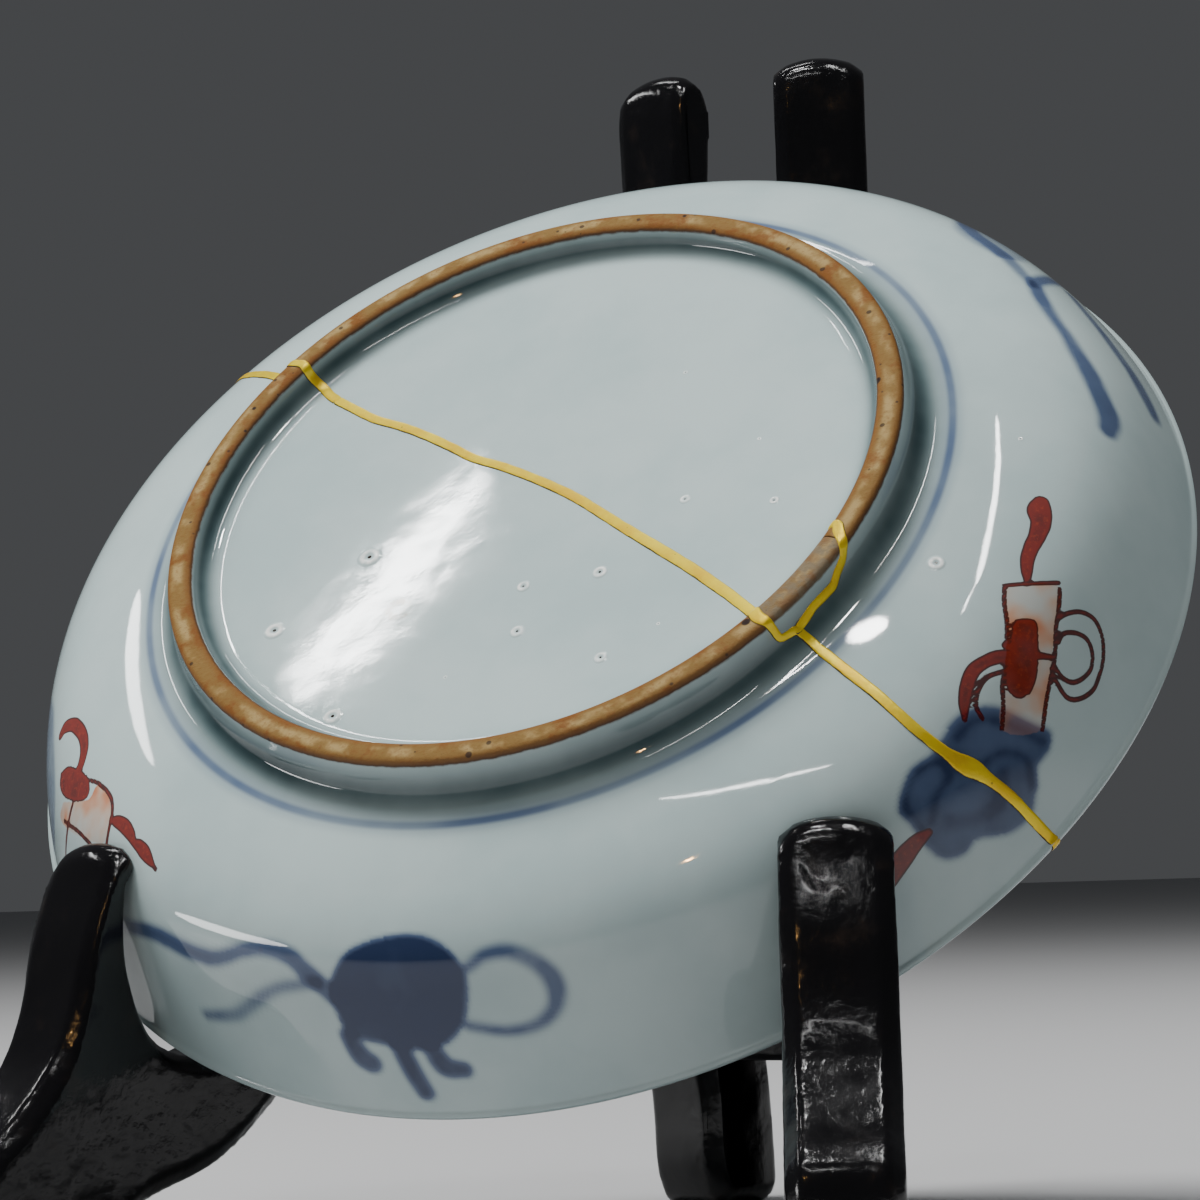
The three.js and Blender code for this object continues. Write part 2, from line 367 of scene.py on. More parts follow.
# The dish: its section from the middle of the recess over the rim to the middle of the well
dish = {
    "rim": 75, "height": 28.8, "wallAtFoot": 4.2, "wallAtRim": 2.8, "bodyStart": (49.1, 5.0),
    "bodyPulls": ((65.2, 8.4), (69.2, 10.9)),
    "recessEdge": 40.6, "recessDepth": 3.2, "recessDome": 0.5, "filletWidth": 2.75, "filletRise": 2.45,
    "foot": [(43.35, 0.75), (43.5, 0.4), (43.85, 0.12), (44.3, 0.02), (45.05, 0), (45.8, 0.02), (46.3, 0.14),
             (46.55, 0.42), (46.62, 0.8), (46.75, 1.8), (46.95, 2.8), (47.35, 3.7), (48.0, 4.4), (49.1, 5.0),
             (50.4, 5.28)],
    "bodyFrom": 50.6, "coarseStep": 1.3, "footStep": 0.34, "paintedFrom": 59.5, "paintedStep": 0.42,
    "degrees": 0.6, "paintedDegrees": 0.3,
    "painted": ((-157, -123), (-103, -74), (-49, 0), (9, 40)), "wellDrop": (0.6, 0.8), "wellStep": 2.2,
}


def dishSection():
    reach = np.arange(0, dish["recessEdge"], dish["coarseStep"])
    dome = dish["recessDome"] * (1 - (reach / dish["recessEdge"]) ** 2)
    base = np.stack((reach, dish["recessDepth"] + dome), 1)
    turn = np.radians(np.linspace(0, 90, 14))[:-1]
    fillet = np.stack((dish["recessEdge"] + dish["filletWidth"] * np.sin(turn),
                       dish["recessDepth"] - dish["filletRise"] * (1 - np.cos(turn))), 1)
    foot = throughPoints(dish["foot"], dish["footStep"])
    s = np.linspace(0, 1, 400)[:, None]
    start, (pullA, pullB), end = dish["bodyStart"], dish["bodyPulls"], (dish["rim"], dish["height"])
    start, pullA, pullB, end = (np.array(v, float) for v in (start, pullA, pullB, end))
    body = (1 - s) ** 3 * start + 3 * s * (1 - s) ** 2 * pullA + 3 * s ** 2 * (1 - s) * pullB + s ** 3 * end
    tangent = unit(np.gradient(body, axis=0))
    wall = dish["wallAtFoot"] + (dish["wallAtRim"] - dish["wallAtFoot"]) * s
    inner = body + wall * np.stack((-tangent[:, 1], tangent[:, 0]), 1)
    lip = dish["wallAtRim"] / 2
    turn = np.radians(np.linspace(0, 180, 15))
    edge = np.stack((dish["rim"] - lip + lip * np.cos(turn), dish["height"] - lip + lip * np.sin(turn)), 1)
    under = edge[0][1]
    body, inner = body[body[:, 1] < under - 0.1], inner[inner[:, 1] < under - 0.1][::-1]
    body = body[body[:, 0] > dish["bodyFrom"]]
    plain = evenly(body[body[:, 0] < dish["paintedFrom"]], dish["coarseStep"])
    painted = evenly(np.vstack((body[body[:, 0] >= dish["paintedFrom"]], edge[:1])), dish["paintedStep"])
    inner = evenly(np.vstack((edge[-1:], inner)), dish["coarseStep"])[1:]
    start, (halfway, middle) = inner[-1], dish["wellDrop"]
    well = throughPoints([start, start * (0.6, 1) - (0, halfway), (0, start[1] - middle)], dish["wellStep"])
    return np.vstack((base, fillet, foot, plain, painted[:-1], edge)), np.vstack((inner, well[1:]))


outerLine, innerLine = dishSection()
outerRun = np.r_[0, np.cumsum(np.linalg.norm(np.diff(outerLine, axis=0), axis=1))]
widest = int(np.argmax(outerLine[:, 0])) + 1
outerFace = unit(np.gradient(outerLine, axis=0))
outerFace = np.stack((outerFace[:, 1], -outerFace[:, 0]), 1)
innerDescent = innerLine[::-1]
innerFace = unit(np.gradient(innerDescent, axis=0))
innerFace = np.stack((-innerFace[:, 1], innerFace[:, 0]), 1)


def runAtRadius(r):
    return np.interp(r, outerLine[:widest, 0], outerRun[:widest])


# A point on the underside from an angle and the run along the section from the middle
def onOuter(angle, run):
    r, t = (np.interp(run, outerRun, outerLine[:, k]) for k in (0, 1))
    faceR, faceT = (np.interp(run, outerRun, outerFace[:, k]) for k in (0, 1))
    angle = np.radians(angle)
    place = np.stack((r * np.cos(angle), r * np.sin(angle), t), -1)
    return place, np.stack((faceR * np.cos(angle), faceR * np.sin(angle), faceT), -1)


# The same from x and w
def underPoint(x, w):
    return onOuter(np.degrees(np.arctan2(w, x)), runAtRadius(np.hypot(x, w)))


def onInner(x, w):
    r, angle = np.hypot(x, w), np.arctan2(w, x)
    t = np.interp(r, innerDescent[:, 0], innerDescent[:, 1])
    faceR, faceT = (np.interp(r, innerDescent[:, 0], innerFace[:, k]) for k in (0, 1))
    return np.stack((x, w, t), -1), np.stack((faceR * np.cos(angle), faceR * np.sin(angle), faceT), -1)


# Light: a soft box that the gloss doesn't mirror, and narrow strips that it does
studio = {
    "floor": (0.43, 0.435, 0.445), "sky": (0.60, 0.62, 0.65), "skyStrength": 0.11, "floorReach": 6.0,
    # name: direction from the foot, distance, width, length, watts, colour, mirrored by the gloss; metres
    "boxes": {
        "high key": ((-0.38, -0.12, 0.92), 1.3, 0.40, 0.40, 26.0, (1.0, 0.99, 0.97), False),
        "front fill": ((-0.55, -0.70, 0.45), 1.6, 0.7, 0.5, 0.7, (0.95, 0.97, 1.0), False),
        "back edge": ((0.35, 0.80, 0.60), 1.2, 0.4, 0.3, 3.0, (1.0, 1.0, 1.0), False),
        "window": ((0.05, -0.37, 0.93), 0.8, 0.05, 0.035, 0.45, (1.0, 1.0, 1.0), True),
        "warm lamp": ((0.10, -0.86, 0.42), 0.9, 0.016, 0.016, 0.22, (1.0, 0.55, 0.18), True),
    },
    # name: directions of the two ends, distance, width, watts
    "strips": {
        "over the body": ((0.13, 0.03, 0.99), (0.33, -0.36, 0.87), 0.8, 0.016, 0.75),
        "front": ((-0.15, -0.62, 0.77), (0.28, -0.70, 0.66), 0.9, 0.010, 0.42),
        "beside the foot": ((-0.04, -0.12, 0.99), (-0.11, -0.10, 0.99), 0.8, 0.02, 0.5),
        "on the tips": ((-0.55, 0.30, 0.78), (-0.12, 0.30, 0.95), 0.8, 0.02, 0.4),
        "across the window": ((-0.13, -0.41, 0.90), (-0.01, -0.38, 0.925), 0.8, 0.012, 0.22),
        "low left": ((-0.93, -0.36, -0.07), (-0.71, -0.70, -0.05), 0.6, 0.04, 0.30),
        "left": ((-0.78, 0.10, 0.62), (-0.79, -0.22, 0.57), 0.8, 0.03, 0.4),
    },
    # the strip whose mirror image is the streak on the recess floor, from x, w to x, w
    "streak": {"from": (-7.5, 3.0), "to": (-22.5, -32.0), "distance": 0.62, "width": 0.0055, "watts": 0.07},
}


def areaLight(name, place, aim, across, along, watts, colour=(1, 1, 1), longWay=None, mirrored=True):
    data = bpy.data.lights.new(name, "AREA")
    data.shape = "ELLIPSE" if mirrored else "RECTANGLE"
    data.size, data.size_y = across, along
    data.energy = watts
    data.color = colour
    light = bpy.data.objects.new(name, data)
    back = (Vector(place) - Vector(aim)).normalized()
    up = Vector(longWay or (0, 0, 1))
    up = (up - back * up.dot(back)).normalized()
    turn = Matrix((up.cross(back), up, back)).transposed().to_4x4()
    light.matrix_world = Matrix.Translation(place) @ turn
    light.visible_glossy = mirrored
    scene.collection.objects.link(light)


def stripLight(name, ends, aim, width, watts):
    along = ends[0] - ends[1]
    areaLight(name, (ends[0] + ends[1]) / 2, aim, width, along.length, watts, longWay=along)


# Where a light stands that the camera sees mirrored at x, w on the underside
def mirrorPlace(x, w, distance):
    place, face = underPoint(x, w)
    place, face = Vector(toWorld(*place)), Vector(directions(face[None])[0])
    sight = (scene.camera.matrix_world.translation - place).normalized()
    return place + (2 * face.dot(sight) * face - sight) * distance


def makeStudio():
    foot = Vector(pose["footCentre"]) * mm
    for name, (way, distance, across, along, watts, colour, mirrored) in studio["boxes"].items():
        place = foot + Vector(way).normalized() * distance
        areaLight(name, place, foot, across, along, watts, colour, None, mirrored)
    for name, (first, second, distance, width, watts) in studio["strips"].items():
        ends = [foot + Vector(way).normalized() * distance for way in (first, second)]
        stripLight(name, ends, foot, width, watts)
    streak = studio["streak"]
    ends = [mirrorPlace(*streak[key], streak["distance"]) for key in ("from", "to")]
    stripLight("streak", ends, foot, streak["width"], streak["watts"])
    world = scene.world or bpy.data.worlds.new("studio")
    scene.world = world
    world.use_nodes = True
    sky = world.node_tree.nodes["Background"]
    sky.inputs["Color"].default_value = (*studio["sky"], 1)
    sky.inputs["Strength"].default_value = studio["skyStrength"]
    reach = studio["floorReach"]
    corners = [(-reach, -reach, 0), (reach, -reach, 0), (reach, reach, 0), (-reach, reach, 0)]
    floor = addMesh("floor", corners, [(0, 1, 2, 3)], False)
    material, tree, skin = newMaterial("pale floor")
    colour = (*studio["floor"], 1)
    setInputs(tree, skin, {"Base Color": colour, "Roughness": 0.75, "Specular IOR Level": 0.2})
    floor.data.materials.append(material)


makeStudio()
print("light and floor set")


def spinDish(name):
    line = np.vstack((outerLine[1:], innerLine[:-1]))
    fine = [np.arange(a, b, dish["paintedDegrees"]) for a, b in dish["painted"]]
    rest = np.arange(-180, 180, dish["degrees"])
    for a, b in dish["painted"]:
        rest = rest[(rest < a - 0.2) | (rest > b + 0.1)]
    angles = np.radians(np.sort(np.concatenate((*fine, rest))))
    rows, columns = len(line), len(angles)
    grid = np.stack((line[:, :1] * np.cos(angles), line[:, :1] * np.sin(angles),
                     np.repeat(line[:, 1:], columns, 1)), -1).reshape(-1, 3)
    ends = np.array([(0, 0, outerLine[0, 1]), (0, 0, innerLine[-1, 1])])
    grid = np.vstack((grid, ends))
    j = np.arange(columns)
    k = (j + 1) % columns
    faces = [(rows * columns, b, a) for a, b in zip(j, k)]
    low = (rows - 1) * columns
    faces += [(rows * columns + 1, low + a, low + b) for a, b in zip(j, k)]
    for row in range(rows - 1):
        near, far = row * columns, (row + 1) * columns
        faces += list(zip(near + j, near + k, far + k, far + j))
    return addMesh(name, toWorld(*grid.T), faces)


# The main break and the small one round the flake, in the dish's millimetres. A crossing of the
# foot is given as degrees and the run along the section, everything else as x and w.
breaks = {
    "leftBody": [(-66.0, 39.7), (-61.5, 37.2), (-57.0, 34.9), (-52.5, 32.1), (-47.5, 29.2), (-42.5, 25.8)],
    "leftFoot": [(149.4, 54.2), (149.1, 51.0), (149.3, 48.6), (149.0, 47.2), (148.6, 45.9), (148.9, 44.7),
                 (148.8, 42.0)],
    "recess": [(-34.0, 19.9), (-30.4, 17.6), (-26.3, 15.1), (-22.2, 13.4), (-18.0, 11.3), (-13.9, 8.9),
               (-10.2, 6.6), (-6.0, 4.8), (-1.5, 2.5), (3.4, -0.3), (6.6, -2.4), (9.8, -4.8), (14.4, -8.3),
               (19.3, -11.9), (24.0, -15.4), (28.5, -19.1), (31.2, -21.4)],
    "rightFoot": [(-35.1, 40.8), (-35.6, 43.0), (-36.4, 44.8), (-37.0, 46.0), (-37.2, 47.2), (-36.9, 48.3),
                  (-36.7, 49.6), (-36.4, 50.9), (-35.2, 51.3), (-33.8, 51.7), (-33.4, 53.2)],
    "rightBody": [(41.7, -27.7), (43.0, -28.7), (45.0, -30.2), (48.0, -32.3), (51.4, -34.8), (54.0, -36.4),
                  (56.6, -37.3), (59.0, -37.3), (61.2, -37.2), (63.0, -37.5), (65.0, -37.9)],
    "flake": [(-33.8, 51.6), (-31.7, 51.1), (-29.8, 51.0), (-27.5, 50.9), (-25.4, 50.7), (-23.7, 50.2),
              (-21.7, 49.5), (-20.6, 48.4), (-19.4, 47.5), (-18.5, 46.8), (-17.5, 45.9), (-17.6, 44.8),
              (-18.6, 43.9), (-22.0, 43.1), (-27.0, 42.8), (-32.0, 42.9), (-35.4, 43.0)],
    "step": 0.3, "gap": 0.12, "recessRun": 38, "stretch": 1.4, "beyond": 160.0,
}


# A route over the underside: places, outward directions and runs, in the dish's millimetres
def routeOver(*parts):
    spots = np.array([find(*point)[0] for find, points in parts for point in points])
    # smooth in x, w and run so that the line stays on the surface
    runs = []
    for (x, w, t) in spots:
        here = np.argmin(np.hypot(outerLine[:, 0] - np.hypot(x, w), outerLine[:, 1] - t))
        runs.append(outerRun[here])
    line = throughPoints(np.column_stack((spots[:, :2], runs)), breaks["step"])
    line = line[line[:, 2] < outerRun[widest - 1]]
    flat = line[:, 2] < breaks["recessRun"]
    line[flat, 2] = runAtRadius(np.hypot(line[flat, 0], line[flat, 1]))
    angle = np.degrees(np.arctan2(line[:, 1], line[:, 0]))
    place, face = onOuter(angle, line[:, 2])
    return place, face, line[:, 2]


def smoothed(rows, reach):
    kernel = np.ones(2 * reach + 1) / (2 * reach + 1)
    padded = np.vstack((rows[-reach:], rows, rows[:reach]))
    return np.stack([np.convolve(column, kernel, "valid") for column in padded.T], 1)


mainPlace, mainFace, _ = routeOver(
    (underPoint, breaks["leftBody"]), (onOuter, breaks["leftFoot"]), (underPoint, breaks["recess"]),
    (onOuter, breaks["rightFoot"]), (underPoint, breaks["rightBody"]))
flakePlace, flakeFace, flakeRun = routeOver((onOuter, breaks["flake"]))
print("break laid out,", len(mainPlace), "and", len(flakePlace), "places")


# The cutter for the flake, which lies under the small break and narrows towards the inside
flakeCut = {
    "outsideFrom": 48.2,  # the run from which the small break is on the outside of the foot
    "firstDegrees": -44, "past": 1.6, "below": -3,
    "rings": ((42.6, 0.55), (49.4, 1.0)),  # radius and share of the break's rise
}


def flakeCutter(grow):
    outer = flakePlace[flakeRun > flakeCut["outsideFrom"]]
    angle, rise = np.degrees(np.arctan2(outer[:, 1], outer[:, 0])), outer[:, 2]
    first, past, below = flakeCut["firstDegrees"], flakeCut["past"], flakeCut["below"]
    angle = np.r_[first, angle, angle[-1] + past, angle[-1] + past, first]
    rise = np.r_[rise[0], rise, rise[-1] - past, below, below]
    rings = []
    for r, share in flakeCut["rings"]:
        turn = np.radians(angle + np.degrees(grow / r))
        up = np.where(rise > 0, rise * share + grow, rise)
        rings.append(toWorld(r * np.cos(turn), r * np.sin(turn), up))
    return stackRings("flakeCutter", rings)


# One half of the dish; its cutter is upright on the dish's plane
def halfDish(name, side):
    course = mainPlace[:, :2]
    course = np.vstack((course[0] * breaks["stretch"], course, course[-1] * breaks["stretch"]))
    across = unit(np.gradient(course, axis=0))
    across = np.stack((-across[:, 1], across[:, 0]), 1)
    far = breaks["beyond"]
    outline = np.vstack((course + across * side * breaks["gap"] / 2, (far, side * far), (-far, side * far)))
    cutter = stackRings("cutter", [toWorld(*outline.T, t) for t in (-5, 40)])
    half = spinDish(name)
    carve(half, cutter, "INTERSECT")
    discard(cutter)
    return half


def cutDish():
    upper, lower = halfDish("upper", 1), halfDish("lower", -1)
    flake = upper.copy()
    flake.data = upper.data.copy()
    scene.collection.objects.link(flake)
    for thing, grow, operation in ((flake, 0.0, "INTERSECT"), (upper, breaks["gap"], "DIFFERENCE")):
        cutter = flakeCutter(grow)
        carve(thing, cutter, operation)
        discard(cutter)
    return upper, lower, flake


upperSherd, lowerSherd, flakeSherd = cutDish()
for thing, name in ((upperSherd, "upper sherd"), (lowerSherd, "lower sherd"), (flakeSherd, "flake")):
    thing.name = name.replace(" ", "_")
    print(thing.name, len(thing.data.vertices), "vertices")

# Painted motifs: strokes as angle, radius and half width in millimetres; washes as outlines.
# The flat sheet they are measured on is the angle times a middle radius, by the run.
paint = {
    "middleRadius": 67.0, "ringRadius": 51.2, "wellRings": (41.0, 69.0, 71.6), "thinnest": 0.31,
    "redStrokes": [
        # right: curl and its stem
        [(-2.6, 62.2, 1.0), (-3.9, 62.3, 1.5), (-5.4, 62.8, 1.25), (-7.2, 62.9, 1.05),
         (-8.8, 62.8, 0.95), (-10.4, 62.9, 0.88), (-11.8, 63.3, 0.75), (-12.8, 63.7, 0.5),
         (-13.5, 63.9, 0.25)],
        # right: the tube's rim and sides
        [(-14.8, 62.1, 0.24), (-13.4, 63.9, 0.28), (-11.3, 66.4, 0.28)],
        [(-14.8, 62.1, 0.25), (-16.8, 63.0, 0.25), (-18.7, 64.2, 0.27), (-20.9, 65.3, 0.28),
         (-23.2, 66.4, 0.3), (-24.6, 67.0, 0.28), (-26.1, 68.0, 0.26), (-27.8, 68.9, 0.26)],
        [(-11.9, 66.7, 0.24), (-13.8, 67.3, 0.3), (-16.0, 67.9, 0.26), (-18.3, 68.8, 0.3),
         (-20.1, 69.3, 0.3), (-22.5, 70.0, 0.28), (-24.7, 70.8, 0.2)],
        # right: sash round the tube, hook to the left and double loop to the right
        [(-20.9, 65.2, 0.5), (-20.3, 66.8, 0.75), (-19.5, 67.8, 0.5), (-18.6, 68.7, 0.35)],
        [(-21.4, 66.2, 0.75), (-22.4, 65.3, 0.85), (-23.8, 64.6, 0.8), (-25.4, 64.3, 0.85),
         (-27.2, 64.8, 0.85), (-28.7, 65.6, 0.7), (-29.9, 66.5, 0.3)],
        [(-23.4, 66.3, 0.2), (-24.9, 65.6, 0.2), (-26.6, 65.7, 0.2), (-28.0, 66.4, 0.22),
         (-28.5, 67.4, 0.18)],
        [(-14.9, 67.6, 0.2), (-13.6, 68.1, 0.24), (-12.5, 68.9, 0.24), (-12.1, 69.9, 0.3),
         (-12.9, 70.8, 0.26), (-14.4, 71.4, 0.25), (-16.1, 71.7, 0.24), (-17.9, 71.8, 0.24),
         (-19.7, 71.4, 0.27), (-20.5, 70.8, 0.28), (-20.2, 69.8, 0.3), (-19.6, 69.1, 0.26)],
        [(-16.9, 68.5, 0.22), (-15.8, 68.5, 0.24), (-14.8, 69.2, 0.24), (-14.4, 70.0, 0.28),
         (-15.0, 70.7, 0.27), (-16.3, 71.1, 0.28), (-17.8, 71.0, 0.3), (-19.0, 70.6, 0.28),
         (-19.4, 69.9, 0.26), (-19.1, 69.0, 0.26)],
        # right: leaf behind the hook of the stand
        [(-39.5, 70.3, 0.5), (-41.0, 70.3, 0.95), (-43.2, 70.6, 1.25), (-45.6, 71.1, 1.2),
         (-47.8, 71.7, 0.9), (-49.6, 72.3, 0.5)],
        # left: hook, sash, tube and tail
        [(-154.2, 66.0, 0.8), (-154.2, 65.0, 1.0), (-152.8, 63.5, 1.0), (-150.2, 62.6, 0.92),
         (-147.9, 62.8, 0.88), (-146.4, 63.9, 0.85), (-146.0, 65.2, 0.85)],
        [(-143.5, 63.8, 0.22), (-141.2, 62.7, 0.24), (-138.2, 62.2, 0.26), (-136.2, 62.9, 0.26),
         (-135.1, 64.3, 0.24), (-134.0, 66.0, 0.22)],
        [(-144.7, 69.0, 0.24), (-140.6, 67.8, 0.26), (-137.0, 67.2, 0.24)],
        [(-143.8, 66.8, 0.26), (-143.3, 69.0, 0.26), (-143.0, 71.2, 0.24)],
        [(-135.6, 63.7, 0.35), (-134.4, 63.2, 0.8), (-132.8, 62.9, 0.95), (-131.2, 63.0, 0.8),
         (-130.1, 63.3, 0.55), (-129.0, 63.2, 0.8), (-127.6, 63.3, 0.9), (-126.2, 63.6, 0.6),
         (-124.8, 63.9, 0.1)],
    ],
    "redAreas": [
        [(-18.6, 64.7), (-17.6, 64.8), (-16.6, 66.2), (-18.4, 67.3), (-20.6, 68.3), (-22.2, 68.8),
         (-23.6, 68.8), (-24.5, 68.3), (-24.5, 67.4), (-23.4, 66.6), (-21.0, 65.6)],
        [(-149.6, 67.2), (-148.6, 65.8), (-146.6, 64.6), (-144.2, 63.7), (-142.2, 63.9), (-141.6, 64.9),
         (-143.2, 66.3), (-146.0, 67.6), (-148.4, 68.0)],
    ],
    "salmonWashes": [
        [(-14.6, 62.3), (-11.7, 66.5), (-16.0, 67.8), (-20.1, 69.2), (-24.7, 70.7), (-27.8, 68.9),
         (-24.6, 67.0), (-20.9, 65.3), (-16.8, 63.0)],
        [(-146.4, 68.2), (-141.3, 64.8), (-141.3, 62.9), (-137.9, 62.5), (-135.4, 63.8), (-134.8, 65.8),
         (-138.4, 67.4), (-145.6, 69.5)],
    ],
    "blueWashes": [
        (1.45, [(-40.1, 69.2), (-40.6, 68.2), (-39.3, 67.3), (-37.1, 66.4), (-34.9, 66.6), (-32.8, 66.3),
                (-31.2, 65.9), (-29.5, 66.0), (-27.9, 66.6), (-26.6, 67.6), (-25.8, 68.8), (-24.9, 70.2),
                (-24.2, 71.2), (-25.4, 71.7), (-27.4, 71.8), (-28.7, 72.4), (-30.6, 73.1), (-33.2, 73.0),
                (-36.0, 72.2), (-37.8, 72.3), (-39.7, 71.8), (-40.4, 70.6)]),
        # the ball at the bottom: its own blue, made darker as painted shade
        (2.3, [(-98.8, 67.8), (-97.4, 65.6), (-94.8, 64.2), (-91.4, 63.5), (-88.4, 63.7), (-86.1, 64.9),
               (-84.5, 67.0), (-84.8, 69.2), (-86.0, 70.5), (-88.0, 71.3), (-91.0, 71.5), (-94.4, 71.2),
               (-97.0, 70.9), (-98.4, 69.4)]),
        (0.75, [(-164.5, 69.4), (-160.4, 67.6), (-156.0, 67.6), (-152.0, 68.2), (-149.0, 69.6),
                (-148.4, 72.0), (-151.0, 74.0), (-157.0, 74.0), (-163.0, 73.4)]),
        (0.6, [(42.0, 65.0), (47.0, 64.2), (51.0, 65.6), (56.0, 70.2), (57.5, 72.4), (52.0, 72.6),
               (46.0, 70.6), (42.0, 68.0)]),
    ],
    "blueStrokes": [
        (0.7, [(-39.9, 70.2, 0.35), (-40.2, 68.9, 0.4), (-39.2, 67.5, 0.4), (-36.8, 66.8, 0.4),
               (-34.6, 67.4, 0.4), (-34.8, 68.5, 0.4), (-37.0, 69.0, 0.35), (-38.6, 69.9, 0.35)]),
        (0.7, [(-33.4, 68.6, 0.4), (-32.0, 69.4, 0.4), (-29.4, 69.8, 0.4), (-27.9, 71.0, 0.4),
               (-28.8, 72.3, 0.5)]),
        (0.6, [(-31.6, 67.0, 0.4), (-29.4, 67.1, 0.4), (-27.6, 68.2, 0.5), (-26.4, 69.8, 0.5),
               (-25.4, 71.2, 0.6)]),
        (0.5, [(-37.4, 70.6, 0.8), (-35.0, 71.4, 0.8), (-32.6, 71.6, 0.9), (-30.6, 70.8, 0.7)]),
        (1.35, [(-130.0, 70.4, 0.7), (-126.8, 69.7, 0.8), (-123.1, 68.9, 0.85), (-120.2, 68.6, 0.9),
                (-116.5, 68.5, 0.9), (-113.0, 68.1, 0.9), (-110.0, 66.9, 0.85), (-107.0, 66.1, 0.85),
                (-103.9, 66.2, 0.95), (-102.0, 67.0, 1.0), (-100.0, 67.9, 1.0), (-98.6, 68.6, 1.0)]),
        (0.9, [(-114.6, 72.0, 0.6), (-112.2, 71.6, 0.75), (-110.0, 71.1, 0.85), (-107.5, 69.9, 0.85),
               (-105.2, 68.9, 0.75), (-102.8, 68.3, 0.7), (-100.2, 67.9, 0.6)]),
        (1.1, [(-84.0, 66.5, 0.6), (-82.1, 65.7, 0.75), (-79.6, 65.8, 0.85), (-77.2, 67.1, 1.0),
               (-76.1, 68.6, 1.15), (-76.6, 70.0, 0.9), (-78.6, 70.8, 0.75), (-81.5, 70.9, 0.65),
               (-84.9, 70.4, 0.6)]),
        (1.9, [(-97.4, 71.0, 0.9), (-96.4, 72.0, 1.25), (-95.6, 72.3, 1.2)]),
        (1.9, [(-92.2, 71.4, 1.0), (-91.4, 72.8, 1.0), (-90.8, 73.6, 0.9)]),
        (1.9, [(-89.2, 71.4, 0.9), (-88.2, 72.4, 1.15), (-86.6, 72.6, 0.9)]),
        (1.15, [(11.2, 67.8, 1.3), (13.2, 68.0, 1.7), (16.0, 67.5, 1.55), (19.4, 66.9, 1.5),
                (22.6, 66.3, 1.25), (25.4, 66.0, 1.0), (28.0, 65.6, 0.95), (31.0, 65.5, 1.05),
                (33.8, 65.8, 1.1), (36.2, 66.6, 1.0), (38.6, 69.0, 1.0), (41.4, 71.2, 1.0),
                (44.6, 72.8, 1.0), (48.4, 74.0, 0.9)]),
        (1.0, [(19.6, 72.6, 1.2), (22.2, 72.3, 1.6), (25.2, 71.9, 1.5), (28.0, 71.3, 1.4),
               (31.0, 70.9, 1.2), (34.2, 70.7, 1.1), (37.6, 70.8, 1.0)]),
        (0.8, [(35.4, 65.9, 0.8), (37.2, 65.9, 0.9), (39.4, 66.0, 1.1), (42.4, 66.2, 1.2),
               (45.4, 66.2, 1.2), (48.4, 66.4, 1.2), (51.0, 67.4, 1.2), (53.8, 69.0, 1.3),
               (56.4, 71.0, 1.1)]),
    ],
    "blueSoft": 0.75,
}


def sheet(angle, r):
    return np.column_stack((np.radians(angle) * paint["middleRadius"], runAtRadius(r)))


# How far inside a set of strokes each spot lies, in millimetres, negative outside
def insideStrokes(spots, stroke):
    keys = np.array(stroke, float)
    line = throughPoints(np.column_stack((sheet(keys[:, 0], keys[:, 1]), keys[:, 2])), 0.14, 40)
    best = np.full(len(spots), -1e3)
    near = np.all((spots > line[:, :2].min(0) - 4) & (spots < line[:, :2].max(0) + 4), axis=1)
    if near.any():
        some = spots[near]
        found = np.full(len(some), -1e3)
        for x, y, half in line:
            half = max(half, paint["thinnest"])
            found = np.maximum(found, half - np.hypot(some[:, 0] - x, some[:, 1] - y))
        best[near] = found
    return best


def insideWash(spots, outline):
    edge = throughPoints(sheet(*np.array(outline + outline[:1], float).T), 0.3)
    best = np.full(len(spots), -1e3)
    near = np.all((spots > edge.min(0) - 4) & (spots < edge.max(0) + 4), axis=1)
    some = spots[near]
    if not len(some):
        return best
    a, b = edge[:-1], edge[1:]
    apart = np.full(len(some), 1e3)
    odd = np.zeros(len(some), bool)
    for (ax, ay), (bx, by) in zip(a, b):
        apart = np.minimum(apart, np.hypot(some[:, 0] - ax, some[:, 1] - ay))
        crosses = (ay > some[:, 1]) != (by > some[:, 1])
        if ay != by:
            odd ^= crosses & (some[:, 0] < (bx - ax) * (some[:, 1] - ay) / (by - ay) + ax)
    best[near] = np.where(odd, apart, -apart)
    return best


def soften(depth, soft):
    return eased((depth + soft) / (2 * soft))


# How deep in the deepest of some strokes and washes, from -3 to 3 mm
def deepest(spots, strokes, washes):
    depths = [insideStrokes(spots, stroke) for stroke in strokes]
    depths += [insideWash(spots, outline) for outline in washes]
    return np.clip(np.max(depths, axis=0), -3, 3)


# Where the glaze ends and pools (its pools also darkened as painted shade), as runs along the section, and
# what marks a place without any
zones = {
    "crest": (44.95, 48.75), "poolsWithShade": ((43.2, 1.7), (52.3, 2.6)), "footWall": (40, 50.5),
    "rimFrom": 72.7, "rimDepth": 1.2, "slack": 0.2,
}
unmarked = {"crest": -9, "ring": 9, "pool": 0, "red": -3, "salmon": -3, "blue": 0, "well": 99}


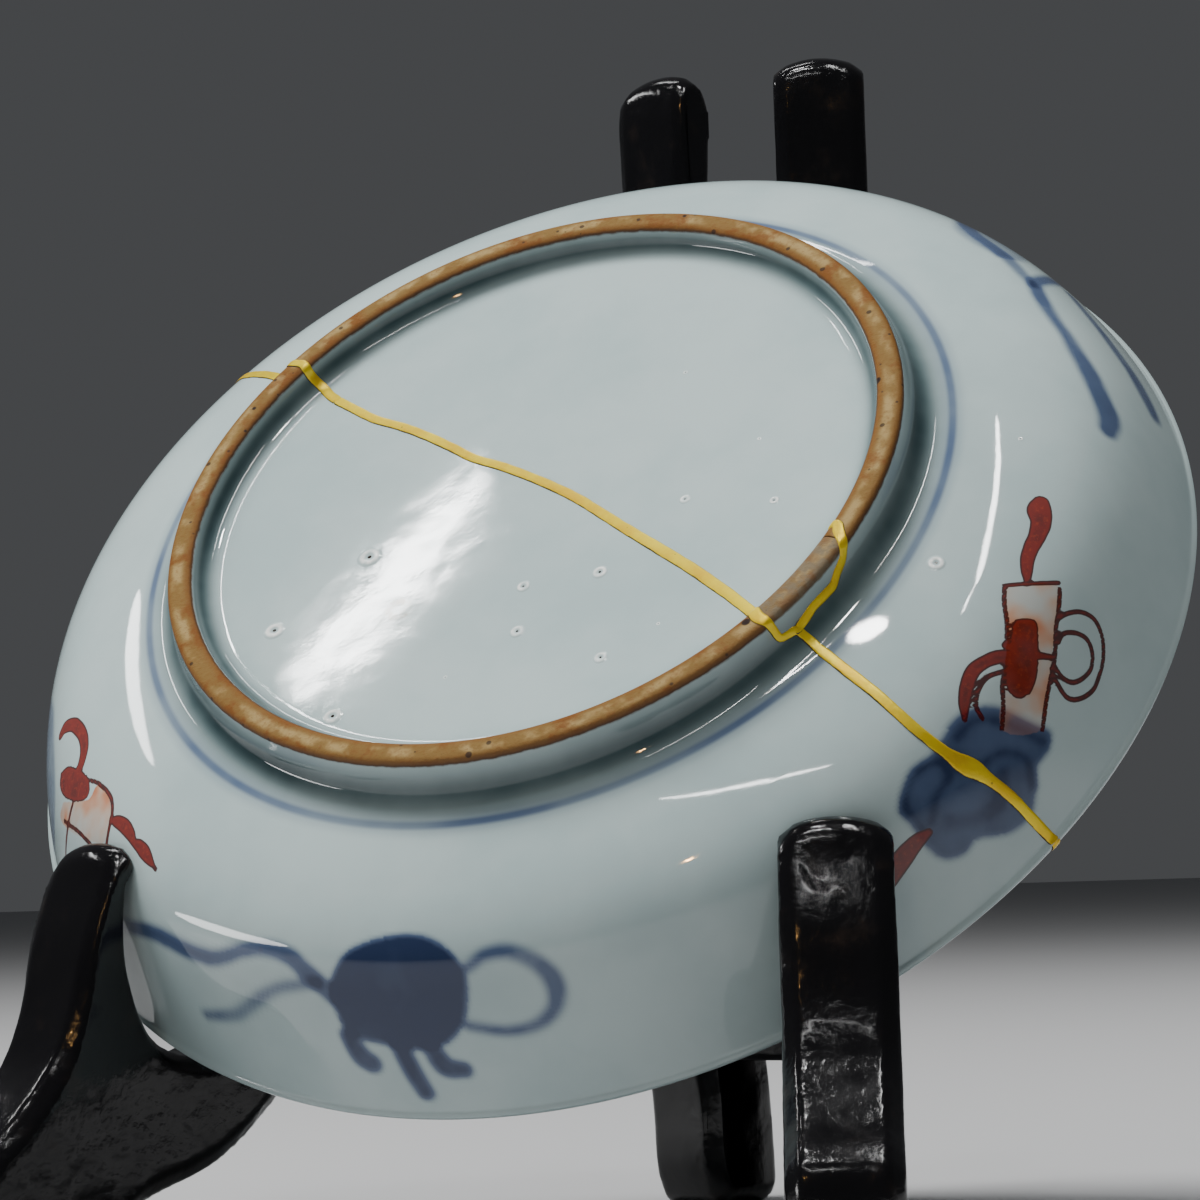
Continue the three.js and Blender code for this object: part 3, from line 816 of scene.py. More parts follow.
# Stores on a sherd what its glaze and paint follow
def markSurface(thing):
    x, w, t = toDish(places(thing))
    r, angle = np.hypot(x, w), np.degrees(np.arctan2(w, x))
    inside = np.interp(r, innerDescent[:, 0], innerDescent[:, 1])
    onUnder = t < inside - dish["wallAtRim"] / 2 - zones["slack"]
    onUnder |= (r > zones["rimFrom"]) & (t < dish["height"] - zones["rimDepth"])
    run = runAtRadius(r)
    # the foot's walls are steep, so there the run comes from the nearest place on the section
    steep = onUnder & (r > zones["footWall"][0]) & (r < zones["footWall"][1])
    here = outerLine[None, :widest]
    apart = np.hypot(r[steep, None] - here[..., 0], t[steep, None] - here[..., 1])
    run[steep] = outerRun[np.argmin(apart, axis=1)]
    spots = np.column_stack((np.radians(angle) * paint["middleRadius"], run))
    blue = np.zeros(len(x))
    for inside, key in ((insideWash, "blueWashes"), (insideStrokes, "blueStrokes")):
        for strength, shape in paint[key]:
            blue += strength * soften(inside(spots, shape), paint["blueSoft"])
    marks = {
        "crest": np.minimum(run - zones["crest"][0], zones["crest"][1] - run),
        "ring": run - runAtRadius(paint["ringRadius"]),
        "pool": sum(np.exp(-((run - middle) / reach) ** 2) for middle, reach in zones["poolsWithShade"]),
        "red": deepest(spots, paint["redStrokes"], paint["redAreas"]),
        "salmon": deepest(spots, [], paint["salmonWashes"]),
        "blue": blue,
    }
    for name, values in marks.items():
        giveAttribute(thing, name, np.where(onUnder, values, unmarked[name]))
    giveAttribute(thing, "well", np.where(onUnder, unmarked["well"], r))


for sherd in (upperSherd, lowerSherd, flakeSherd):
    markSurface(sherd)
giveAttribute(flakeSherd, "worn", np.ones(len(flakeSherd.data.vertices)))
print("paint marked on the sherds")

glaze = {
    # pooled: glaze pooled by the foot, made darker still as painted shade
    "body": (0.455, 0.565, 0.57), "bodyCool": (0.39, 0.50, 0.51), "pooledWithShade": (0.020, 0.050, 0.058),
    "blue": (0.040, 0.070, 0.170), "blueDeep": (0.010, 0.020, 0.062), "ringBlue": (0.032, 0.062, 0.17),
    "red": (0.18, 0.006, 0.001), "redDark": (0.05, 0.0015, 0.0008), "redThin": (0.36, 0.036, 0.004),
    "salmon": (0.55, 0.25, 0.11), "salmonStrong": (0.50, 0.12, 0.022),
    "biscuit": (0.19, 0.110, 0.027), "biscuitRusty": (0.165, 0.060, 0.007),
    "biscuitPaleWithHighlight": (0.34, 0.240, 0.095),
    "burnt": (0.040, 0.019, 0.008), "wornClay": (0.16, 0.128, 0.080), "iron": (0.016, 0.006, 0.004),
    "pinholeShade": (0.02, 0.010, 0.006), "bubbleWhiteAndGlint": (0.95, 0.96, 0.93),
    "rough": 0.036, "biscuitRough": 0.7, "waves": 0.17,
    "smudge": (0.30, 0.215, 0.085), "smudgeAt": (-12.7, -18.8), "smudgeRadius": 0.0013,
}


def makeGlaze():
    material, tree, skin = newMaterial("glazed porcelain")
    place = objectPlace(tree)
    uneven = unevenness(tree, place, 95.0, 1500.0, 0.05)
    wobble = noise(tree, place, 700, 3, 0.6)
    fine = noise(tree, place, 1900, 3, 0.65)
    # glaze: white where thin, blue-green where it pools by the foot, and darker there still as painted shade
    # in the crevices
    colour = blendColour(tree, spread(tree, uneven["Tone"], 0.35, 0.7), glaze["body"], glaze["bodyCool"])
    pool = times(tree, attribute(tree, "pool"), spread(tree, uneven["Tone"], 0.2, 0.8, 0.75, 1.0))
    colour = blendColour(tree, maths(tree, "MINIMUM", pool, 1.0), colour, glaze["pooledWithShade"])
    # underglaze blue, soft at its edges
    away = maths(tree, "ABSOLUTE", attribute(tree, "ring"))
    for line in paint["wellRings"]:
        other = maths(tree, "ABSOLUTE", minus(tree, attribute(tree, "well"), line))
        away = maths(tree, "MINIMUM", away, other)
    patchy = spread(tree, noise(tree, place, 60, 3), 0.3, 0.7, 0.65, 1.0)
    core = minus(tree, 1.0, spread(tree, away, 0.15, 0.8))
    halo = minus(tree, 1.0, spread(tree, away, 0.3, 2.0))
    ring = plus(tree, times(tree, core, 0.55), times(tree, halo, 0.3))
    colour = blendColour(tree, times(tree, ring, patchy), colour, glaze["ringBlue"])
    cloudy = spread(tree, noise(tree, place, 190, 3, 0.5), 0.25, 0.75, 0.7, 0.95)
    blue = times(tree, attribute(tree, "blue"), cloudy)
    colour = blendColour(tree, maths(tree, "MINIMUM", blue, 0.9), colour, glaze["blue"])
    colour = blendColour(tree, spread(tree, blue, 0.8, 1.8, 0.0, 0.85), colour, glaze["blueDeep"])
    # overglaze: a thin salmon wash in streaks, then red enamel, darker at the edges of a stroke
    ragged = times(tree, minus(tree, wobble, 0.5), 0.35)
    salmon = spread(tree, plus(tree, attribute(tree, "salmon"), ragged), -0.08, 0.12)
    streaks = noise(tree, place, 190, 2)
    wash = blendColour(tree, spread(tree, streaks, 0.5, 0.72), glaze["salmon"], glaze["salmonStrong"])
    salmon = times(tree, salmon, spread(tree, streaks, 0.32, 0.66, 0.2, 0.85))
    colour = blendColour(tree, salmon, colour, wash)
    depth = plus(tree, attribute(tree, "red"), times(tree, ragged, 0.35))
    inside = spread(tree, depth, -0.05, 0.05)
    mottled = spread(tree, noise(tree, place, 480, 3, 0.6), 0.35, 0.7)
    middle = times(tree, spread(tree, depth, 0.3, 0.75), mottled)
    enamel = blendColour(tree, spread(tree, depth, 0.1, 0.3), glaze["redDark"], glaze["red"])
    enamel = blendColour(tree, times(tree, middle, 0.55), enamel, glaze["redDark"])
    thin = times(tree, spread(tree, depth, 0.22, 0.5), spread(tree, fine, 0.5, 0.75, 0.0, 0.5))
    enamel = blendColour(tree, thin, enamel, glaze["redThin"])
    colour = blendColour(tree, times(tree, inside, 0.94), colour, enamel)
    # the crest of the foot is bare and toasted, rusty where the glaze ends, with iron specks; its paler
    # patches along the middle are partly the clay's tone, partly painted highlight
    crest = plus(tree, attribute(tree, "crest"), times(tree, ragged, 1.3))
    bare = spread(tree, crest, -0.22, 0.12)
    rusty = minus(tree, 1.0, spread(tree, crest, 0.15, 1.5))
    blotches = spread(tree, noise(tree, place, 230, 4, 0.62), 0.5, 0.68, 0.0, 0.95)
    rusty = maths(tree, "ADD", times(tree, rusty, 0.85), blotches, clamp=True)
    # paler patches along the crest's middle, partly painted highlight
    pale = spread(tree, noise(tree, place, 330, 3), 0.4, 0.62)
    pale = times(tree, spread(tree, crest, 0.8, 1.7), pale)
    biscuit = blendColour(tree, pale, glaze["biscuit"], glaze["biscuitPaleWithHighlight"])
    biscuit = blendColour(tree, rusty, biscuit, glaze["biscuitRusty"])
    grit = spread(tree, fine, 0.5, 0.68, 0.0, 0.4)
    biscuit = blendColour(tree, grit, biscuit, glaze["biscuitRusty"])
    edge = minus(tree, 1.0, spread(tree, crest, 0.05, 0.5))
    biscuit = blendColour(tree, times(tree, edge, 0.75), biscuit, glaze["burnt"])
    worn = times(tree, attribute(tree, "worn"), spread(tree, wobble, 0.4, 0.6, 0.35, 0.9))
    biscuit = blendColour(tree, worn, biscuit, glaze["wornClay"])
    coarse, dusty = speckMask(tree, place, 520.0, 0.24, 0.12), speckMask(tree, place, 900.0, 0.3, 0.16)
    specks = maths(tree, "MAXIMUM", coarse, times(tree, dusty, 0.8))
    biscuit = blendColour(tree, specks, biscuit, glaze["iron"])
    colour = blendColour(tree, bare, colour, biscuit)
    # a faint ochre ring in the recess
    ends = {0: place, 1: tuple(toWorld(*underPoint(*glaze["smudgeAt"])[0]))}
    apart = add(tree, "ShaderNodeVectorMath", ends, operation="DISTANCE").outputs["Value"]
    near = maths(tree, "ABSOLUTE", minus(tree, apart, glaze["smudgeRadius"]))
    smudge = minus(tree, 1.0, spread(tree, near, 0.0002, 0.0008))
    smudge = times(tree, smudge, spread(tree, noise(tree, place, 600, 2), 0.35, 0.65, 0.05, 0.6))
    colour = blendColour(tree, smudge, colour, glaze["smudge"])
    # a few iron specks in the glaze; on each burst bubble a white ring, partly its paler rim and partly
    # painted highlight, round a dark eye of painted shade for its hollow
    rare = speckMask(tree, place, 95.0, 0.045, 0.18)
    colour = blendColour(tree, times(tree, rare, 0.5), colour, glaze["biscuitRusty"])
    lip = spread(tree, attribute(tree, "lip"), 0.35, 1.0, 0.0, 0.9)
    lip = times(tree, lip, spread(tree, wobble, 0.35, 0.6, 0.4, 1.0))
    colour = blendColour(tree, lip, colour, glaze["bubbleWhiteAndGlint"])
    eye = spread(tree, attribute(tree, "eye"), 0.35, 0.65)
    colour = blendColour(tree, eye, colour, glaze["pinholeShade"])
    gloss = spread(tree, bare, 0, 1, glaze["rough"], glaze["biscuitRough"], False)
    gloss = plus(tree, gloss, times(tree, inside, 0.1))
    # the glaze is nearly even, the bare clay rough
    height = times(tree, uneven["Height"], spread(tree, bare, 0, 1, glaze["waves"], 1.0))
    height = plus(tree, height, times(tree, times(tree, fine, bare), 0.9))
    height = plus(tree, height, times(tree, inside, 0.05))
    bump = add(tree, "ShaderNodeBump", {"Height": height, "Strength": 0.4, "Distance": 0.00035})
    setInputs(tree, skin, {"Base Color": colour, "Roughness": gloss, "Normal": bump.outputs[0],
                      "IOR": 1.5, "Specular IOR Level": 0.6})
    return material


glazedPorcelain = makeGlaze()
finish(upperSherd, glazedPorcelain, "dish_upper_sherd", "dish_upper_sherd")
finish(lowerSherd, glazedPorcelain, "dish_lower_sherd", "dish_lower_sherd")
finish(flakeSherd, glazedPorcelain, "foot_ring_sherd", "foot_ring_sherd")
print("sherds glazed")

# The gold: a low bead along each break, on both faces of the dish and over its lips
gold = {
    "halfWidth": 0.68, "flakeShare": 0.85, "height": 0.16, "sides": 14,
    "waver": 0.16, "waverScale": 520.0, "seed": 5,
    # where it widens or narrows on the underside: x, w of the middle, reach and factor
    "wide": [(24.0, -15.4, 16.0, 1.16), (36.2, -27.3, 1.6, 1.25), (38.6, -27.9, 2.2, 0.62),
             (58.0, -37.2, 1.3, 1.75), (43.6, -13.9, 1.2, 1.35)],
    "wideUpTo": 20,  # none of them reaches farther from the foot's plane than this
    # the colour named lacquer darkens one edge of the bead
    "leaf": (1.0, 0.76, 0.035), "leafDeep": (0.88, 0.56, 0.020), "lacquer": (0.03, 0.013, 0.006),
    "rough": 0.34, "metal": 0.5,
}


def goldTree():
    tree, given, end = newTree(
        "Geometry", "bead along a break",
        [("Geometry", "Geometry", None), ("Height", "Float", 0.0002), ("Sides", "Int", 12),
         ("Waver", "Float", 0.2), ("Waver Scale", "Float", 700.0), ("Seed", "Int", 1),
         ("Material", "Material", None)],
        [("Geometry", "Geometry")])

    def named(name, kind="FLOAT"):
        found = add(tree, "GeometryNodeInputNamedAttribute", {"Name": name}, data_type=kind)
        return found.outputs["Attribute"]

    def stored(shape, name, value, kind="FLOAT_VECTOR"):
        inputs = {"Geometry": shape, "Name": name, "Value": value}
        new = add(tree, "GeometryNodeStoreNamedAttribute", inputs, data_type=kind, domain="POINT")
        return new.outputs[0]

    def vectors(operation, a, b=None, scale=None):
        new = add(tree, "ShaderNodeVectorMath", {0: a}, operation=operation)
        for index, value in ((1, b), ("Scale", scale)):
            if value is not None:
                tree.links.new(value, new.inputs[index])
        return new.outputs["Value" if operation == "DOT_PRODUCT" else "Vector"]

    line = add(tree, "GeometryNodeMeshToCurve", {"Mesh": given["Geometry"]}).outputs["Curve"]
    half = named("halfWidth")
    line = stored(line, "middle", add(tree, "GeometryNodeInputPosition").outputs[0])
    line = stored(line, "heading", add(tree, "GeometryNodeInputTangent").outputs[0])
    line = add(tree, "GeometryNodeSetCurveRadius", {"Curve": line, "Radius": half}).outputs[0]
    ring = add(tree, "GeometryNodeCurvePrimitiveCircle", {"Resolution": given["Sides"], "Radius": 1.0})
    sweep = {"Curve": line, "Profile Curve": ring.outputs["Curve"], "Scale": half, "Fill Caps": True}
    swept = add(tree, "GeometryNodeCurveToMesh", sweep).outputs[0]
    middle, outward = named("middle", "FLOAT_VECTOR"), named("outward", "FLOAT_VECTOR")
    sideways = vectors("NORMALIZE", vectors("CROSS_PRODUCT", named("heading", "FLOAT_VECTOR"), outward))
    place = add(tree, "GeometryNodeInputPosition").outputs[0]
    away = vectors("SUBTRACT", place, middle)
    rise = vectors("DOT_PRODUCT", away, outward)
    side = vectors("DOT_PRODUCT", away, sideways)
    waver = {"Vector": place, "Scale": given["Waver Scale"], "Detail": 3.0,
             "W": times(tree, given["Seed"], 3.7)}
    uneven = add(tree, "ShaderNodeTexNoise", waver, noise_dimensions="4D").outputs["Fac"]
    stretch = times(tree, minus(tree, uneven, 0.5), times(tree, given["Waver"], 2.0))
    widened = vectors("SCALE", sideways, scale=times(tree, side, plus(tree, 1.0, stretch)))
    # a flat top: the square root of the profile's rise
    level = maths(tree, "DIVIDE", rise, half)
    root = maths(tree, "POWER", maths(tree, "ABSOLUTE", level), 0.5)
    level = times(tree, maths(tree, "SIGN", level), root)
    raised = vectors("SCALE", outward, scale=times(tree, level, given["Height"]))
    moved = vectors("ADD", vectors("ADD", middle, widened), raised)
    swept = stored(swept, "across", maths(tree, "DIVIDE", side, half), "FLOAT")
    shaped = add(tree, "GeometryNodeSetPosition", {"Geometry": swept, "Position": moved}).outputs[0]
    return closeTree(tree, shaped, given["Material"], end)


def makeGoldLeaf():
    material, tree, skin = newMaterial("burnished gold")
    place = objectPlace(tree)
    uneven = unevenness(tree, place, 420.0, 2600.0, 0.35)
    across = attribute(tree, "across")
    colour = blendColour(tree, spread(tree, uneven["Tone"], 0.35, 0.72), gold["leaf"], gold["leafDeep"])
    # darker along one edge of the bead, and a few dark specks over it
    edge = plus(tree, across, times(tree, minus(tree, uneven["Height"], 0.5), 0.5))
    dark = spread(tree, edge, 0.80, 0.94)
    dark = maths(tree, "MAXIMUM", dark, times(tree, speckMask(tree, place, 1500.0, 0.2, 0.1), 0.5))
    colour = blendColour(tree, dark, colour, gold["lacquer"])
    bump = add(tree, "ShaderNodeBump", {"Height": uneven["Height"], "Strength": 0.5, "Distance": 0.00018})
    metal = spread(tree, dark, 0.3, 0.7, gold["metal"], 0.0)
    setInputs(tree, skin, {"Base Color": colour, "Metallic": metal, "Roughness": gold["rough"],
                      "Normal": bump.outputs[0]})
    return material


# The main bead goes on over the lips and back along the inside; the flake's closes on itself
def beadRoutes():
    reach = innerDescent[:, 0].max()
    inside = mainPlace[:, :2]
    inside = inside[np.hypot(*inside.T) < reach][::-1]
    innerPlace, innerNormal = onInner(*inside.T)
    lip = dish["wallAtRim"] / 2
    turn = np.radians(np.linspace(8, 172, 12))

    def overLip(end):
        angle = atan2(end[1], end[0])
        r = dish["rim"] - lip + lip * np.cos(turn)
        spots = np.stack((r * cos(angle), r * sin(angle), dish["height"] - lip + lip * np.sin(turn)), 1)
        face = np.stack((np.cos(turn) * cos(angle), np.cos(turn) * sin(angle), np.sin(turn)), 1)
        return spots, face

    right, left = overLip(mainPlace[-1]), overLip(mainPlace[0])
    loop = np.vstack((mainPlace, right[0], innerPlace, left[0][::-1]))
    face = np.vstack((mainFace, right[1], innerNormal, left[1][::-1]))
    return (loop, face), (flakePlace, flakeFace)


def makeGoldSeam(leaf):
    tree = goldTree()
    beads = []
    for number, (line, face) in enumerate(beadRoutes()):
        count = len(line)
        half = np.full(count, gold["halfWidth"] * (gold["flakeShare"] if number else 1.0))
        for x, w, reach, factor in gold["wide"]:
            near = np.exp(-(np.hypot(line[:, 0] - x, line[:, 1] - w) / reach) ** 2)
            half *= 1 + (factor - 1) * near * (line[:, 2] < gold["wideUpTo"])
        edges = [(i, (i + 1) % count) for i in range(count)]
        thing = addMesh("bead", toWorld(*line.T), [], False, edges)
        giveAttribute(thing, "outward", directions(unit(smoothed(face, 2))))
        giveAttribute(thing, "halfWidth", half * mm)
        runNodes(thing, tree, {
            "Height": gold["height"] * mm, "Sides": gold["sides"], "Waver": gold["waver"],
            "Waver Scale": gold["waverScale"], "Seed": gold["seed"] + number, "Material": leaf})
        beads.append(thing)
    return joined("gold_seam_beads", beads)


burnishedGold = makeGoldLeaf()
goldSeam = makeGoldSeam(burnishedGold)
finish(goldSeam, burnishedGold, "gold_seam", "gold_seam")
print("gold laid,", len(goldSeam.data.polygons), "faces")

# Burst bubbles in the glaze: x, w and radius. Each is a low ring, whitened partly as painted highlight,
# round a dark eye of painted shade.
pits = {
    "spots": [(12.3, -14.8, 1.25), (2.9, -16.3, 1.1), (4.2, -23.7, 1.2), (16.1, -28.8, 1.1),
              (20.3, -3.6, 0.9), (31.9, -5.1, 0.8), (-28.4, -21.3, 1.7), (52.5, -14.3, 1.3),
              (27.6, 5.7, 0.35), (-19.4, -9.6, 1.9), (-15.8, -35.9, 1.6), (15.0, 18.8, 0.45),
              (-3.0, -30.5, 0.4), (58.5, 6.5, 0.4), (22.0, -24.0, 0.35)],
    # the rest is in shares of a bubble's radius
    "rings": 14, "spokes": 36, "ridge": 0.085, "ridgeAt": 0.5, "ridgeWidth": 0.26,
    "floor": 0.012, "skirt": 0.03, "eye": 0.14,
}


def pitShape():
    grid, faces = [(0, 0, pits["floor"])], []
    for k in range(1, pits["rings"] + 1):
        s = k / pits["rings"]
        up = pits["ridge"] * np.exp(-((s - pits["ridgeAt"]) / pits["ridgeWidth"]) ** 2)
        up += pits["floor"] * (1 - s) - pits["skirt"] * s ** 6
        for spoke in range(pits["spokes"]):
            turn = 2 * pi * spoke / pits["spokes"]
            grid.append((s * cos(turn), s * sin(turn), up))
    n = pits["spokes"]
    faces += [(0, 1 + i, 1 + (i + 1) % n) for i in range(n)]
    for k in range(pits["rings"] - 1):
        low = 1 + k * n
        faces += [(low + i, low + n + i, low + n + (i + 1) % n, low + (i + 1) % n) for i in range(n)]
    shape = addMesh("pit", grid, faces)
    away = np.hypot(*np.array(grid)[:, :2].T)
    # eye marks the painted shade in the middle, lip the ring whitened partly as painted highlight
    giveAttribute(shape, "eye", 1 - away / pits["eye"] / 2)
    giveAttribute(shape, "lip", np.exp(-((away - pits["ridgeAt"]) / pits["ridgeWidth"]) ** 2))
    return shape


def pitTree():
    tree, given, end = newTree(
        "Geometry", "pits on a surface",
        [("Geometry", "Geometry", None), ("Pit", "Object", None), ("Material", "Material", None)],
        [("Geometry", "Geometry")])
    outward = add(tree, "GeometryNodeInputNamedAttribute", {"Name": "outward"}, data_type="FLOAT_VECTOR")
    size = add(tree, "GeometryNodeInputNamedAttribute", {"Name": "size"}, data_type="FLOAT")
    turn = add(tree, "FunctionNodeAlignRotationToVector", {"Vector": outward.outputs["Attribute"]}, axis="Z")
    shape = add(tree, "GeometryNodeObjectInfo", {"Object": given["Pit"]}).outputs["Geometry"]
    inputs = {"Points": given["Geometry"], "Instance": shape, "Rotation": turn.outputs[0],
              "Scale": size.outputs["Attribute"]}
    sown = add(tree, "GeometryNodeInstanceOnPoints", inputs).outputs[0]
    return closeTree(tree, sown, given["Material"], end)


def makePits():
    x, w, size = np.array(pits["spots"]).T
    place, face = underPoint(x, w)
    thing = addMesh("glaze_pits", toWorld(*place.T), [], False)
    giveAttribute(thing, "outward", directions(face))
    giveAttribute(thing, "size", size * mm)
    shape = pitShape()
    runNodes(thing, pitTree(), {"Pit": shape, "Material": glazedPorcelain})
    discard(shape)
    for name, empty in unmarked.items():
        giveAttribute(thing, name, np.full(len(thing.data.vertices), float(empty)))
    return thing


glazePits = makePits()
finish(glazePits, glazedPorcelain, "dish_upper_sherd")
print("glaze pits sown")

# The stand: two boards cut to an S-shaped outline and the wedge between them, thickly lacquered
stand = {
    "seatHeight": 27.5, "seatSpacing": 79.8, "uprightSpacing": 17.2, "middle": 39.694, "clearance": 0.3,
    "board": 12.5, "chamfer": 2.0, "tipChamfer": 0.6, "hookHeight": 24.4, "hookSetback": 5.9,
    "hookThickness": 3.6, "toeReach": 22, "toeLength": 14, "member": 13, "upright": 6.4, "overshoot": 25,
    "heelReach": 8, "heelLength": 14, "outlineStep": 0.9, "arch": 1.6, "archReach": 6.0, "voxel": 0.5,
    "contact": 4.55,  # the outline runs in full this far either side of the board's middle
    # lumps in the lacquer: how high and how fine
    "swell": 0.16, "swellScale": 120.0, "blister": 0.07, "blisterScale": 420.0,
    "black": (0.0035, 0.0033, 0.004), "worn": (0.02, 0.013, 0.01), "rough": 0.12,
}
seatX, uprightX = stand["seatSpacing"] / 2, stand["uprightSpacing"] / 2
rimSpan = sqrt(dish["rim"] ** 2 - seatX ** 2) + sqrt(dish["rim"] ** 2 - uprightX ** 2)
rimRun, rimRise = rimSpan * sin(lean), rimSpan * cos(lean)
splay = atan2(seatX - uprightX, rimRun)
armRun = sqrt(rimRun ** 2 + (seatX - uprightX) ** 2)


def armOutline():
    s = stand
    seat = s["seatHeight"] - s["clearance"]
    tip, hook = seat + s["hookHeight"], -s["hookSetback"]
    toe, rest = hook - s["toeReach"], armRun + s["clearance"]
    back, heel = rest + s["upright"], rest + s["upright"] + s["heelReach"]
    contact = s["seatHeight"] + rimRise
    top, thick, member, under = contact + s["overshoot"], s["hookThickness"], s["member"], s["heelLength"]
    points = [
        (hook + 0.2, tip), (hook - thick * 0.55, tip - 1.1), (hook - thick, tip - 5),
        (hook - thick * 1.75, tip - s["hookHeight"] * 0.48),
        (hook - thick * 2.2, tip - s["hookHeight"] * 0.74),
        (hook - thick * 3.1, seat - 0.8), (hook - s["toeReach"] * 0.75, seat - 6.6),
        (toe, seat - 12), (toe, 5), (toe + 1.2, 1.4), (toe + 4, 0), (toe + s["toeLength"], 0),
        (toe + s["toeLength"] + 3, 3), (toe + s["toeLength"] + 8, 8.5), (hook + 15, seat - member),
        (armRun * 0.3, seat + rimRise * 0.09 - member / 2),
        (armRun * 0.55, seat + rimRise * 0.27 - member / 2),
        (armRun * 0.74, seat + rimRise * 0.21), (heel - under - 2.5, seat - 6), (heel - under, 4),
        (heel - under + 2.5, 0), (heel - 3, 0), (heel - 0.4, 1.6), (heel, 6), (heel - 2.4, seat + 4),
        (heel - 4.2, seat + rimRise * 0.36), (back + 3.6, seat + rimRise * 0.62), (back + 1.6, contact - 14),
        (back, contact + 6), (back, top - 5), (back - s["upright"] * 0.18, top - 1.2),
        (back - s["upright"] / 2, top), (rest + s["upright"] * 0.12, top - 1.4), (rest, top - 5),
        (rest, contact + 8), (rest, contact - 2), (rest - 4, seat + rimRise * 0.76),
        (armRun * 0.83, seat + rimRise * 0.53), (armRun * 0.58, seat + rimRise * 0.3),
        (armRun * 0.3, seat + rimRise * 0.1), (7, seat - 1), (0.6, seat - 0.4), (hook * 0.37, seat + 1.3),
        (hook * 0.66, seat + 3.9), (hook * 0.86, seat + 6.6), (hook - 0.4, seat + s["hookHeight"] * 0.43),
        (hook - 0.7, seat + s["hookHeight"] * 0.62), (hook - 0.3, tip - 5), (hook + 0.9, tip - 1.6),
    ]
    line = evenly(closedCurve(np.array(points, float)), s["outlineStep"])[:-1]
    line[:, 1] = np.maximum(line[:, 1], 0)
    return line


# A closed curve through the points, its speed following the square root of their spacing
def closedCurve(points, fine=24):
    spans = []
    s = np.linspace(0, 1, fine, endpoint=False)[:, None]
    count = len(points)
    for i in range(count):
        a, b, c, d = (points[(i + k) % count] for k in (-1, 0, 1, 2))
        ab, bc, cd = (max(np.linalg.norm(q - p), 1e-6) ** 0.5 for p, q in ((a, b), (b, c), (c, d)))
        leave = ((b - a) / ab - (c - a) / (ab + bc) + (c - b) / bc) * bc
        arrive = ((c - b) / bc - (d - b) / (bc + cd) + (d - c) / cd) * bc
        spans.append(b + leave * s + (3 * (c - b) - 2 * leave - arrive) * s ** 2
                     + (2 * (b - c) + leave + arrive) * s ** 3)
    spans.append(points[:1])
    return np.vstack(spans)


def boardPlace(side, u, v, across):
    turn = side * splay
    x = side * (seatX + stand["contact"] * cos(splay)) + across * cos(turn) - u * sin(turn)
    y = stand["contact"] * sin(splay) - stand["middle"] + across * sin(turn) + u * cos(turn)
    return np.column_stack((x, y, v)) * mm


# Lowers the shoulders of a board's two tips, so that each tip is arched across the board
def archTips(arm, side, tips):
    x, y, v = (places(arm) / mm).T
    turn = side * splay
    x = x - side * (seatX + stand["contact"] * cos(splay))
    y = y - stand["contact"] * sin(splay) + stand["middle"]
    across, u = x * cos(turn) + y * sin(turn), y * cos(turn) - x * sin(turn)
    tip = np.where(u < armRun / 3, *tips)
    share = eased((v - tip + stand["archReach"]) / (stand["archReach"] * 0.8))
    v = v - stand["arch"] * share * (across * 2 / stand["board"]) ** 2
    moved = places(arm)
    moved[:, 2] = v * mm
    arm.data.vertices.foreach_set("co", moved.ravel())
    arm.data.update()


def evenSkin(thing):
    skin = thing.modifiers.new("skin", "REMESH")
    skin.mode = "VOXEL"
    skin.voxel_size = stand["voxel"] * mm
    skin.use_smooth_shade = True
    soft = thing.modifiers.new("soft", "SMOOTH")
    soft.factor = 0.5
    soft.iterations = 1
    return settle(thing)


def makeArm(name, side):
    outline = armOutline()
    count = len(outline)
    along = unit(np.roll(outline, -1, 0) - np.roll(outline, 1, 0))
    inward = np.stack((-along[:, 1], along[:, 0]), 1)
    hookTip = stand["seatHeight"] + stand["hookHeight"] - stand["clearance"]
    uprightTip = stand["seatHeight"] + rimRise + stand["overshoot"]
    fromTip = np.where(outline[:, 0] < armRun / 3, hookTip, uprightTip) - outline[:, 1]
    share = eased((fromTip - 4) / 30)
    depth = stand["tipChamfer"] + (stand["chamfer"] - stand["tipChamfer"]) * share
    inset = outline + inward * depth[:, None]
    half = stand["board"] / 2
    layers = ((inset, -half), (outline, -stand["contact"]), (outline, stand["contact"]), (inset, half))
    arm = stackRings(name, [boardPlace(side, *ring.T, np.full(count, z)) for ring, z in layers])
    evenSkin(arm)
    archTips(arm, side, (hookTip, uprightTip))
    return arm


